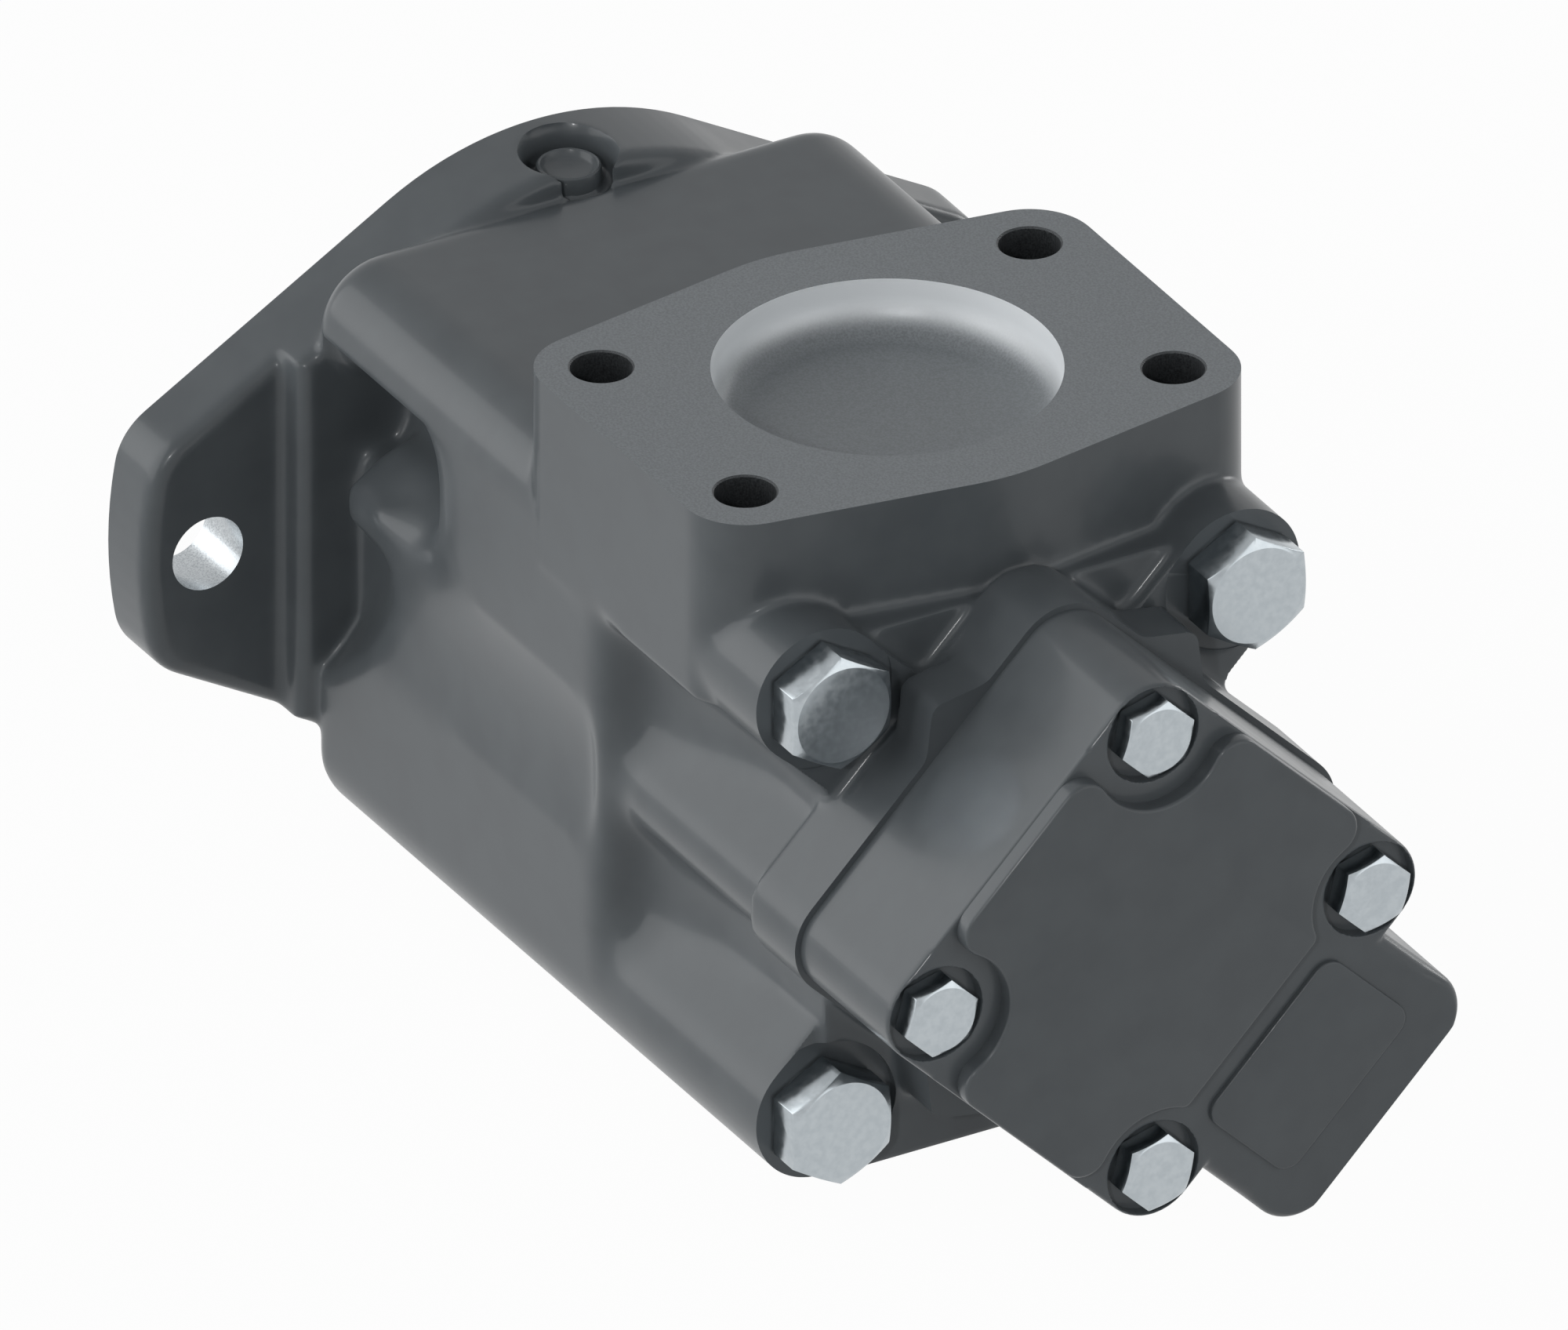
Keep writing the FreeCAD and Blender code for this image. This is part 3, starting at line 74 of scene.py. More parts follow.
def surfaceGroup(name, inputs, textures, toneFrom, share):
    # two textures blended into a height, and one of them as the tone; share is an input's name or a number
    group = bpy.data.node_groups.new(name, "ShaderNodeTree")
    for label, value in inputs.items():
        socket = group.interface.new_socket(label, in_out="INPUT", socket_type="NodeSocketFloat")
        socket.default_value = value
    for label in ("Height", "Tone"):
        group.interface.new_socket(label, in_out="OUTPUT", socket_type="NodeSocketFloat")
    inNode = addNode(group, "NodeGroupInput")
    outNode = addNode(group, "NodeGroupOutput")
    coords = addNode(group, "ShaderNodeTexCoord")
    blend = addNode(group, "ShaderNodeMix", data_type="FLOAT")
    link = group.links.new
    for side, (label, kind, look, values) in zip("AB", textures):
        texture = addNode(group, kind, **look)
        for key, value in values.items():
            texture.inputs[key].default_value = value
        link(coords.outputs["Object"], texture.inputs["Vector"])
        link(inNode.outputs[label], texture.inputs["Scale"])
        link(texture.outputs["Fac"], blend.inputs[side])
        if label == toneFrom:
            link(texture.outputs["Fac"], outNode.inputs["Tone"])
    if share in inputs:
        link(inNode.outputs[share], blend.inputs["Factor"])
    else:
        blend.inputs["Factor"].default_value = share
    link(blend.outputs["Result"], outNode.inputs["Height"])
    return group


castGrain = surfaceGroup("cast grain", {"Grain": 900.0, "Swell": 60.0, "Fine": 0.5}, [
    ("Swell", "ShaderNodeTexNoise", {}, {"Detail": 2.0}),
    ("Grain", "ShaderNodeTexNoise", {}, {"Detail": 3.0}),
], "Swell", "Fine")
turnedLines = surfaceGroup("turned lines", {"Pitch": 1500.0, "Speckle": 2500.0}, [
    ("Pitch", "ShaderNodeTexWave", {"wave_type": "BANDS", "bands_direction": "X"}, {"Distortion": 1.5}),
    ("Speckle", "ShaderNodeTexNoise", {}, {"Detail": 2.0}),
], "Speckle", 0.6)


def finish(name, group, settings):
    # one finish: a surface group drives tone, roughness and bump of a Principled shader
    s = {**finishBase, **settings}
    material = bpy.data.materials.new(name)
    material.use_nodes = True
    tree = material.node_tree
    tree.nodes.clear()
    out = addNode(tree, "ShaderNodeOutputMaterial")
    shader = addNode(tree, "ShaderNodeBsdfPrincipled")
    surface = addNode(tree, "ShaderNodeGroup", node_tree=group)
    for label, value in s["group"].items():
        surface.inputs[label].default_value = value
    colour = addNode(tree, "ShaderNodeMix", data_type="RGBA")
    colour.inputs["A"].default_value = (*s["dark"], 1.0)
    colour.inputs["B"].default_value = (*s["light"], 1.0)
    tone = addNode(tree, "ShaderNodeMapRange")
    tone.inputs["From Min"].default_value, tone.inputs["From Max"].default_value = s["tone"]
    rough = addNode(tree, "ShaderNodeMapRange")
    rough.inputs["To Min"].default_value, rough.inputs["To Max"].default_value = s["rough"]
    bump = addNode(tree, "ShaderNodeBump")
    bump.inputs["Strength"].default_value = s["bump"]
    bump.inputs["Distance"].default_value = s["depth"] * mm
    shader.inputs["Metallic"].default_value = s["metal"]
    shader.inputs["Specular IOR Level"].default_value = s["specular"]
    shader.inputs["Coat Weight"].default_value = s["coat"]
    shader.inputs["Coat Roughness"].default_value = s["coatRough"]
    link = tree.links.new
    link(surface.outputs["Tone"], tone.inputs["Value"])
    link(tone.outputs["Result"], colour.inputs["Factor"])
    link(colour.outputs["Result"], shader.inputs["Base Color"])
    link(tone.outputs["Result"], rough.inputs["Value"])
    link(rough.outputs["Result"], shader.inputs["Roughness"])
    link(surface.outputs["Height"], bump.inputs["Height"])
    link(bump.outputs["Normal"], shader.inputs["Normal"])
    link(shader.outputs["BSDF"], out.inputs["Surface"])
    return material


paint = finish("blue grey paint", castGrain, {
    "group": {"Grain": 1400.0, "Swell": 90.0, "Fine": 0.6},
    "dark": (0.090, 0.101, 0.109), "light": (0.100, 0.112, 0.120),
    "rough": (0.30, 0.35), "bump": 0.10, "depth": 0.06, "metal": 0.0, "specular": 0.26, "coat": 0.15,
})
milled = finish("milled iron", castGrain, {
    "group": {"Grain": 2600.0, "Swell": 1900.0, "Fine": 0.7},
    "dark": (0.150, 0.163, 0.173), "light": (0.205, 0.222, 0.234),
    "rough": (0.38, 0.48), "bump": 0.25, "depth": 0.05, "metal": 0.6,
})
boreIron = finish("bored iron", turnedLines, {
    "group": {"Pitch": 900.0, "Speckle": 2400.0},
    "dark": (0.42, 0.45, 0.47), "light": (0.62, 0.65, 0.67),
    "rough": (0.26, 0.36), "bump": 0.2, "depth": 0.05, "metal": 1.0,
})
# near-black iron for tapped holes, bolt holes and the P2 port: the dark tone is painted shade standing in for
# the shade deep inside the holes
holeShadeIron = finish("tapped hole iron with painted shade", turnedLines, {
    "group": {"Pitch": 700.0, "Speckle": 2400.0},
    "dark": (0.030, 0.033, 0.036), "light": (0.060, 0.066, 0.070),
    "rough": (0.45, 0.60), "bump": 0.6, "depth": 0.2, "metal": 0.5,
})
zinc = finish("zinc plate", castGrain, {
    "group": {"Grain": 3000.0, "Swell": 500.0, "Fine": 0.5},
    "dark": (0.42, 0.46, 0.485), "light": (0.47, 0.51, 0.535),
    "rough": (0.20, 0.27), "bump": 0.15, "depth": 0.03, "metal": 1.0,
})
steel = finish("ground steel", turnedLines, {
    "group": {"Pitch": 1600.0, "Speckle": 2800.0},
    "dark": (0.40, 0.41, 0.42), "light": (0.52, 0.53, 0.54),
    "rough": (0.24, 0.34), "bump": 0.15, "depth": 0.03, "metal": 1.0,
})
bearingSteel = finish("bearing steel", turnedLines, {
    "group": {"Pitch": 2600.0, "Speckle": 3400.0},
    "dark": (0.55, 0.56, 0.57), "light": (0.64, 0.65, 0.66),
    "rough": (0.12, 0.20), "bump": 0.08, "depth": 0.02, "metal": 1.0,
})
springSteel = finish("phosphated spring steel", castGrain, {
    "group": {"Grain": 2600.0, "Swell": 700.0, "Fine": 0.6},
    "dark": (0.045, 0.045, 0.047), "light": (0.075, 0.075, 0.078),
    "rough": (0.38, 0.52), "bump": 0.3, "depth": 0.04, "metal": 0.7,
})
sealSteel = finish("pressed seal steel", castGrain, {
    "group": {"Grain": 2200.0, "Swell": 300.0, "Fine": 0.5},
    "dark": (0.25, 0.245, 0.23), "light": (0.33, 0.325, 0.31),
    "rough": (0.34, 0.46), "bump": 0.2, "depth": 0.04, "metal": 1.0,
})
plateIron = finish("lapped plate iron", turnedLines, {
    "group": {"Pitch": 1100.0, "Speckle": 1800.0},
    "dark": (0.20, 0.205, 0.21), "light": (0.30, 0.305, 0.31),
    "rough": (0.30, 0.42), "bump": 0.2, "depth": 0.04, "metal": 1.0,
})
bronze = finish("bearing bronze", turnedLines, {
    "group": {"Pitch": 1300.0, "Speckle": 2000.0},
    "dark": (0.42, 0.24, 0.10), "light": (0.55, 0.34, 0.15),
    "rough": (0.28, 0.40), "bump": 0.2, "depth": 0.04, "metal": 1.0,
})
rubber = finish("nitrile rubber", castGrain, {
    "group": {"Grain": 2400.0, "Swell": 260.0, "Fine": 0.5},
    "dark": (0.012, 0.012, 0.013), "light": (0.022, 0.022, 0.023),
    "rough": (0.55, 0.70), "bump": 0.3, "depth": 0.05, "metal": 0.0,
})

# the wall colour is near-white: the machined tone of the bore plus a painted reflection of bright light on it
bowlPaintedReflection = {"floorZ": 0.0768, "wallZ": 0.0835, "wall": (0.92, 0.95, 0.97), "metal": 0.2}


def bowlFinish():
    # milled floor running into a bored wall, told apart by height on the piece; the wall is machined metal, and
    # its near-white colour is also a painted reflection of bright light on the bore
    material = milled.copy()
    material.name = "suction bowl iron with painted reflection"
    tree = material.node_tree
    shader = next(n for n in tree.nodes if n.type == "BSDF_PRINCIPLED")
    colour = next(n for n in tree.nodes if n.type == "MIX")
    coords = addNode(tree, "ShaderNodeTexCoord")
    split = addNode(tree, "ShaderNodeSeparateXYZ")
    height = addNode(tree, "ShaderNodeMapRange", interpolation_type="SMOOTHSTEP")
    height.inputs["From Min"].default_value = bowlPaintedReflection["floorZ"]
    height.inputs["From Max"].default_value = bowlPaintedReflection["wallZ"]
    paintedReflection = addNode(tree, "ShaderNodeMix", data_type="RGBA")
    paintedReflection.inputs["B"].default_value = (*bowlPaintedReflection["wall"], 1.0)
    shader.inputs["Metallic"].default_value = bowlPaintedReflection["metal"]
    link = tree.links.new
    link(coords.outputs["Object"], split.inputs["Vector"])
    link(split.outputs["Z"], height.inputs["Value"])
    link(height.outputs["Result"], paintedReflection.inputs["Factor"])
    link(colour.outputs["Result"], paintedReflection.inputs["A"])
    link(paintedReflection.outputs["Result"], shader.inputs["Base Color"])
    return material


bowlIron = bowlFinish()
castFinishes = [paint, boreIron, holeShadeIron, milled, bowlIron]
slotFinish = {
    "painted_casting": paint, "zinc_bolt": zinc, "steel": steel, "bearing_steel": bearingSteel,
    "spring_steel": springSteel, "seal_steel": sealSteel, "plate_iron": plateIron,
    "bronze": bronze, "rubber": rubber,
}
print("materials:", len(set(slotFinish.values()) | set(castFinishes)))


# mesh helpers

# far is well past the pump; gaps are in metres
helperSizes = {
    "far": 400, "rearEnd": 300, "rearHalf": 200, "mouthRise": 3,
    "turnedGap": 1e-7, "cadGap": 1e-6, "planeGap": 2e-5, "fillBatch": 10, "softWeight": 0.6,
}

# across takes (y, z, x) to (x, y, z)
across = Matrix.Rotation(math.pi / 2, 4, "Z") @ Matrix.Rotation(math.pi / 2, 4, "X")
upsideDown = Matrix.Rotation(math.pi, 4, "X")


def alongX(y=0.0, z=0.0):
    return Matrix.Translation((0, y * mm, z * mm)) @ Matrix.Rotation(math.pi / 2, 4, "Y")


def alongZ(x, y=0.0):
    return Matrix.Translation((x * mm, y * mm, 0))


def crossSpots(reach):
    return [(reach, 0), (-reach, 0), (0, reach), (0, -reach)]


def quarterTurn(steps):
    return [math.pi / 2 * k / steps for k in range(steps + 1)]


def setSlot(bm, slotIndex):
    for face in bm.faces:
        face.material_index = slotIndex


def addRod(bm, radius, low, high, place, segments=64):
    depth = (high - low) * mm
    matrix = place @ Matrix.Translation((0, 0, low * mm + depth / 2))
    bmesh.ops.create_cone(
        bm, cap_ends=True, segments=segments, radius1=radius * mm, radius2=radius * mm,
        depth=depth, matrix=matrix,
    )


def addBlock(bm, low, high):
    middle = [(a + b) / 2 * mm for a, b in zip(low, high)]
    size = [(b - a) * mm for a, b in zip(low, high)]
    bmesh.ops.create_cube(bm, size=1.0, matrix=Matrix.Translation(middle) @ Matrix.Diagonal((*size, 1.0)))


def addHull(bm, rings, steps=48):
    # convex skin over rings (y, z, radius, x)
    made = []
    for y, z, radius, x in rings:
        made += bmesh.ops.create_circle(
            bm, cap_ends=False, segments=steps, radius=radius * mm,
            matrix=across @ Matrix.Translation((y * mm, z * mm, x * mm)),
        )["verts"]
    hull = bmesh.ops.convex_hull(bm, input=made)
    loose = {g for g in hull["geom_interior"] + hull["geom_unused"] if isinstance(g, bmesh.types.BMVert)}
    bmesh.ops.delete(bm, geom=[v for v in loose if v.is_valid], context="VERTS")


def addPrism(bm, circles, low, high, steps=48):
    # prism along X round a set of circles (y, z, radius)
    addHull(bm, [(*circle, x) for circle in circles for x in (low, high)], steps)


def turnedMesh(profile, place, steps, slotIndex=paintSlot):
    # a profile of (radius, height) spun round the placed axis
    bm = bmesh.new()
    made = [bm.verts.new((r * mm, 0, h * mm)) for r, h in profile]
    edges = [bm.edges.new(pair) for pair in zip(made, made[1:])]
    bmesh.ops.spin(
        bm, geom=made + edges, axis=(0, 0, 1), cent=(0, 0, 0), angle=2 * math.pi, steps=steps, use_merge=True,
    )
    bmesh.ops.remove_doubles(bm, verts=bm.verts, dist=helperSizes["turnedGap"])
    bmesh.ops.recalc_face_normals(bm, faces=bm.faces)
    bmesh.ops.transform(bm, matrix=place, verts=bm.verts)
    setSlot(bm, slotIndex)
    return bm


def linkObject(name, data):
    obj = bpy.data.objects.new(name, data)
    bpy.context.scene.collection.objects.link(obj)
    return obj


def bmeshObject(bm, name, materials=castFinishes):
    mesh = bpy.data.meshes.new(name)
    bm.to_mesh(mesh)
    bm.free()
    for material in materials:
        mesh.materials.append(material)
    return linkObject(name, mesh)


def dropObject(obj):
    mesh = obj.data
    bpy.data.objects.remove(obj)
    bpy.data.meshes.remove(mesh)


def takeMesh(obj):
    # the object's mesh as a bmesh, and the object goes away
    bm = bmesh.new()
    bm.from_mesh(obj.data)
    dropObject(obj)
    return bm


def pourInto(bm, other):
    # adds another bmesh, which is used up
    mesh = bpy.data.meshes.new("poured")
    other.to_mesh(mesh)
    other.free()
    bm.from_mesh(mesh)
    bpy.data.meshes.remove(mesh)


def bakeModifiers(obj):
    graph = bpy.context.evaluated_depsgraph_get()
    mesh = bpy.data.meshes.new_from_object(obj.evaluated_get(graph))
    old = obj.data
    obj.modifiers.clear()
    obj.data = mesh
    bpy.data.meshes.remove(old)


def carve(obj, bm, operation="DIFFERENCE"):
    # one boolean with a closed cutter, then the cutter goes away
    cutter = bmeshObject(bm, "cutter")
    modifier = obj.modifiers.new("carve", "BOOLEAN")
    modifier.operation = operation
    modifier.solver = "MANIFOLD"
    modifier.object = cutter
    bakeModifiers(obj)
    dropObject(cutter)
    if len(obj.data.polygons) == 0:
        raise RuntimeError("a cut left nothing of " + obj.name)


def carveTurned(obj, profile, place, steps, slotIndex=paintSlot, operation="DIFFERENCE"):
    carve(obj, turnedMesh(profile, place, steps, slotIndex), operation)


def carveBlock(obj, low, high, slotIndex=paintSlot, place=Matrix()):
    bm = bmesh.new()
    addBlock(bm, low, high)
    bmesh.ops.transform(bm, matrix=place, verts=bm.verts)
    setSlot(bm, slotIndex)
    carve(obj, bm)


def trim(obj, axis, plane, way, slotIndex=paintSlot, place=Matrix()):
    # takes away what lies past a plane, on its high side (way 1) or its low side (way -1)
    low, high = [-helperSizes["far"]] * 3, [helperSizes["far"]] * 3
    (low if way > 0 else high)[axis] = plane
    carveBlock(obj, low, high, slotIndex, place)


def trimRear(obj, x):
    half = helperSizes["rearHalf"]
    carveBlock(obj, (x, -half, -half), (helperSizes["rearEnd"], half, half))


def carveRods(obj, radius, low, high, places, slotIndex, segments=64, chamfer=0.0):
    # a row of equal holes; a chamfer opens the mouth at the high end
    profile = [(0, low), (radius, low)]
    if chamfer:
        top = high + helperSizes["mouthRise"]
        profile += [(radius, high - chamfer), (radius + chamfer, high), (radius + chamfer, top), (0, top)]
    else:
        profile += [(radius, high), (0, high)]
    for place in places:
        carveTurned(obj, profile, place, segments, slotIndex)


def cadCopy(name, moves):
    # a merged copy of a CAD node, with some planes (direction, distance) moved by so much
    part = bmesh.new()
    part.from_mesh(nodes[name].data)
    bmesh.ops.remove_doubles(part, verts=part.verts, dist=helperSizes["cadGap"])
    for direction, plane, extra in moves:
        way = Vector(direction).normalized()
        for vert in part.verts:
            if abs(vert.co.dot(way) - plane * mm) < helperSizes["planeGap"]:
                vert.co += way * extra * mm
    return part


def spread(places, pairs, weight, rounds, normals=None):
    # moves points towards their neighbours' middle; with normals, only outwards
    one, two = pairs.T
    count = len(places)
    near = np.maximum(np.bincount(one, minlength=count) + np.bincount(two, minlength=count), 1)
    for _ in range(rounds):
        middle = [
            (np.bincount(one, places[two, k], count) + np.bincount(two, places[one, k], count)) / near
            for k in range(3)
        ]
        move = np.stack(middle, axis=1) - places
        share = weight
        if normals is not None:
            share = weight * (np.einsum("ij,ij->i", move, normals) > 0)
        places = places + move * share[:, None]
    return places


def fillCorners(mesh, places, pairs, weight, rounds):
    # inside corners grow into fillets where the weight is above nothing
    picked = (weight[pairs] > 0).any(axis=1)
    ids, local = np.unique(pairs[picked], return_inverse=True)
    local = local.reshape(-1, 2)
    normals = np.empty(len(places) * 3, np.float32)
    batch = helperSizes["fillBatch"]
    for start in range(0, rounds, batch):
        mesh.vertices.foreach_set("co", places.ravel())
        mesh.update()
        mesh.vertex_normals.foreach_get("vector", normals)
        ways = normals.reshape(-1, 3)[ids]
        places[ids] = spread(places[ids], local, weight[ids], min(batch, rounds - start), ways)


def castSkin(bm, name, settings):
    # voxel skin, inside corners filled outwards, some areas melted, then every edge softened
    obj = bmeshObject(bm, name)
    voxel = obj.modifiers.new("skin", "REMESH")
    voxel.mode = "VOXEL"
    voxel.voxel_size = settings["voxel"] * mm
    bakeModifiers(obj)
    mesh = obj.data
    count = len(mesh.vertices)
    places = np.empty(count * 3)
    mesh.vertices.foreach_get("co", places)
    places = places.reshape(-1, 3)
    pairs = np.empty(len(mesh.edges) * 2, np.int32)
    mesh.edges.foreach_get("vertices", pairs)
    pairs = pairs.reshape(-1, 2)
    for weightOf, area, rounds in settings["fills"]:
        fillCorners(mesh, places, pairs, weightOf(places / mm, area), rounds)
    for weightOf, area, rounds in settings["melts"]:
        places = spread(places, pairs, weightOf(places / mm, area), rounds)
    places = spread(places, pairs, np.full(count, helperSizes["softWeight"]), settings["softRounds"])
    mesh.vertices.foreach_set("co", places.ravel())
    mesh.update()
    thin = obj.modifiers.new("thin", "DECIMATE")
    thin.ratio = min(1.0, settings["triangles"] / (2 * len(mesh.polygons)))
    bakeModifiers(obj)
    for material in castFinishes:
        obj.data.materials.append(material)
    print(name, "skin:", count, "points,", len(obj.data.polygons), "faces")
    return obj


def dress(obj, body, sharp=32.0):
    mesh = obj.data
    mesh.shade_smooth()
    mesh.set_sharp_from_angle(angle=math.radians(sharp))
    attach(obj, body)


# where the skin is filled and melted: p is a row of points in millimetres, a the area's sizes

def rampUp(values, start, length):
    return np.clip((values - start) / length, 0, 1)


def rampDown(values, end, length):
    return np.clip((end - values) / length, 0, 1)


def evenWeight(p, a):
    return np.full(len(p), a["weight"])


def lugWeight(p, a):
    # no filling round the cast lug on the flange top and in the thin groove beside it
    lug = (np.abs(p[:, 0] - a["x"]) < a["halfX"]) & (np.abs(p[:, 1]) < a["halfY"]) & (p[:, 2] > a["low"])
    return np.where(lug, 0.0, a["weight"])


def valleyWeight(p, a):
    # wide fillets behind the square block, fading out towards the bolt seats
    fade = np.clip((a["end"] - p[:, 0]) / a["fade"], 0, a["weight"])
    inside = (p[:, 0] > a["start"]) & (p[:, 2] < a["high"]) & (np.hypot(p[:, 1], p[:, 2]) > a["radius"])
    return np.where(inside, fade, 0.0)


def boxWeight(p, a):
    # both sides of the pump, beyond a distance from its middle plane
    inside = (p[:, 0] > a["start"]) & (p[:, 0] < a["end"]) & (np.abs(p[:, 1]) > a["beyond"])
    return np.where(inside & (p[:, 2] > a["low"]) & (p[:, 2] < a["high"]), a["weight"], 0.0)


def softBoxWeight(p, a):
    # the same kind of box, fading in and out along X and Z
    along = rampUp(p[:, 0], *a["front"]) * rampDown(p[:, 0], *a["rear"])
    tall = rampDown(p[:, 2], *a["top"]) * rampUp(p[:, 2], *a["foot"])
    return np.where(np.abs(p[:, 1]) > a["beyond"], along * tall * a["weight"], 0.0)


def edgeWeight(p, a):
    # strongest at one upright edge on each side
    along = np.clip(1 - np.abs(p[:, 0] - a["x"]) / a["halfX"], 0, 1)
    tall = rampDown(p[:, 2], *a["top"]) * rampUp(p[:, 2], *a["foot"])
    return np.where(np.abs(p[:, 1]) > a["beyond"], along * tall * a["weight"], 0.0)


# mounting cap and housing, skinned as one casting

capBlankSizes = {
    "pocketX": 23.0, "pocketLow": 19.0, "pocketHigh": 51.8, "pocketInner": 44.0, "pocketOuter": 110,
    "shelf": [(64.0, 16.6), (52.0, 23.5), (40.0, 23.5), (40.0, 10.0), (64.0, 10.0)],
    "shelfR": 2.0, "shelfX": 31.0, "bossR": 11.5, "rootX": 20.0,
    "chamberWallR": 51.0, "sealWallR": 64.5, "sealWallX": 64.5, "overlap": 1,
}


def capBlank():
    # the cap before its holes, with the deep side pockets down to the round chamber wall
    s = capBlankSizes
    joint = pump["jointX"]
    past = joint + s["overlap"]
    obj = bmeshObject(cadCopy("mounting_cap", [
        ((1, 0, 0), 0.0, -pump["allowance"]), ((0, 0, -1), -pump["footZ"], pump["allowance"]),
    ]), "capBlank")
    for side in (-1, 1):
        near, wide = sorted((side * s["pocketInner"], side * s["pocketOuter"]))
        carveBlock(obj, (s["pocketX"], near, s["pocketLow"]), (past, wide, s["pocketHigh"]))
    blank = takeMesh(obj)
    addRod(blank, s["chamberWallR"], s["rootX"], joint, alongX(), 128)
    addRod(blank, s["sealWallR"], s["sealWallX"], past, alongX(), 128)
    for side in (-1, 1):
        addPrism(blank, [(side * y, z, s["shelfR"]) for y, z in s["shelf"]], s["shelfX"], past, 24)
        boss = alongX(side * pump["boltHalf"], pump["boltHalf"])
        addRod(blank, s["bossR"], s["rootX"], past, boss, 96)
    return blank


# horn: outwards, sideways and radius of each circle; web: x, y, z and radius of each ring
housingBlankSizes = {
    "lipX": 214.0, "lipR": 13.4, "lipDepth": 6,
    "shelfLow": (150, -40.0, 30), "shelfHigh": (208.0, 40.0, 61.2),
    "horn": [(55.0, 13.0, 3.5), (47.0, 25.0, 3.0), (47.0, 2.0, 3.0)],
    "web": [(139, 50.0, 15.0, 8.0), (139, 50.0, 37.0, 8.0), (192, 44.5, 20.0, 4.0), (192, 44.5, 28.0, 4.0)],
}


def housingBlank():
    # the housing up to its rear wall, with the shelf under the pad and the raised end cap seat
    s = housingBlankSizes
    rear = pump["endX"] + pump["allowance"]
    obj = bmeshObject(cadCopy("housing", [((0, 0, 1), pump["padTop"], pump["allowance"])]), "housingBlank")
    trimRear(obj, s["lipX"])
    blank = takeMesh(obj)
    addBlock(blank, s["shelfLow"], s["shelfHigh"])
    corners = [(y, z, s["lipR"]) for y, z in crossSpots(pump["endBoltR"])]
    addPrism(blank, corners, s["lipX"] - s["lipDepth"], rear)
    for side in (-1, 1):
        for up in (-1, 1):
            addHull(blank, [(side * y, up * z, r, x) for x, y, z, r in s["web"]], 24)
            horn = [
                (side * (d - a) / math.sqrt(2), up * (d + a) / math.sqrt(2), r) for d, a, r in s["horn"]
            ]
            addPrism(blank, horn, s["lipX"], rear, 24)
    return blank


# plugs: radius and ends; where one end is missing, the plug runs out through the machined face
bodySizes = {
    "bores": [(41, -12.7, 30), (47, 20, 75), (57, 68, 124), (43.5, 120, 200)], "rearBore": (43.5, 190),
    "ear": (10, 15.9), "bolt": (9.6, 28, 214), "boss": (16.0, 200), "p1Port": (17.5, -20),
    "suction": (40, 55), "suctionFloor": (36, 20, 80),
    "padTap": (7.6, 60), "p1Tap": (5.2, -58), "endTap": (6.0, 190),
}
bodySkin = {
    "voxel": 0.8, "softRounds": 2, "triangles": 340000,
    "fills": [
        (lugWeight, {"x": pump["lugX"], "halfX": 12, "halfY": 14, "low": 58, "weight": 0.9}, 7),
        (valleyWeight, {"start": 141, "end": 195, "fade": 30, "high": 60, "radius": 46, "weight": 0.9}, 140),
        (boxWeight, {"start": 21, "end": 69, "beyond": 40, "low": 6, "high": 50, "weight": 0.9}, 30),
    ],
    "melts": [
        # the side recess of the cap runs softly into the housing wall, but keeps its top edge
        (softBoxWeight, {
            "front": (23, 6), "rear": (84, 10), "top": (51, 5), "foot": (-50, 15), "beyond": 36, "weight": 0.6,
        }, 50),
        # the upright rear edges of the square block are rounded wide
        (edgeWeight, {
            "x": 143, "halfX": 12, "top": (48, 10), "foot": (-50, 10), "beyond": 50, "weight": 0.8,
        }, 50),
        # the rear side of each pocket's mouth runs out softly into the wall
        (softBoxWeight, {
            "front": (48, 12), "rear": (92, 14), "top": (51, 8), "foot": (2, 12), "beyond": 48, "weight": 0.9,
        }, 130),
    ],
}


def makeBody():
    # both blanks with every hole plugged, so that the skin is cast over a solid
    s = bodySizes
    more = pump["allowance"]
    foot, top, rear = pump["footZ"] - more, pump["padTop"] + more, pump["endX"] + more
    bm = capBlank()
    pourInto(bm, housingBlank())
    for radius, low, high in s["bores"] + [(*s["rearBore"], rear)]:
        addRod(bm, radius, low, high, alongX())
    for y in (-pump["earY"], pump["earY"]):
        addRod(bm, s["ear"][0], -more, s["ear"][1], alongX(y))
    for y in (-pump["boltHalf"], pump["boltHalf"]):
        for z in (-pump["boltHalf"], pump["boltHalf"]):
            addRod(bm, *s["bolt"], alongX(y, z))
            addRod(bm, *s["boss"], housingBlankSizes["lipX"], alongX(y, z), 96)
    addRod(bm, s["p1Port"][0], foot, s["p1Port"][1], alongZ(pump["p1X"]))
    addRod(bm, *s["suction"], top, alongZ(pump["suctionX"]))
    addRod(bm, *s["suctionFloor"], alongZ(pump["suctionX"]))
    for x in (-1, 1):
        for y in (-1, 1):
            addRod(bm, *s["padTap"], top, alongZ(pump["suctionX"] + x * pump["padTapX"], y * pump["padTapY"]))
            p1Tap = alongZ(pump["p1X"] + x * pump["p1TapX"], y * pump["p1TapY"])
            addRod(bm, s["p1Tap"][0], foot, s["p1Tap"][1], p1Tap)
    for y, z in crossSpots(pump["endBoltR"]):
        addRod(bm, *s["endTap"], rear, alongX(y, z))
    return castSkin(bm, "casting", bodySkin)


body = makeBody()
boltSpots = [(y * pump["boltHalf"], z * pump["boltHalf"]) for y, z in ((-1, 1), (-1, -1), (1, -1), (1, 1))]
boltAxes = [alongX(y, z) for y, z in boltSpots]

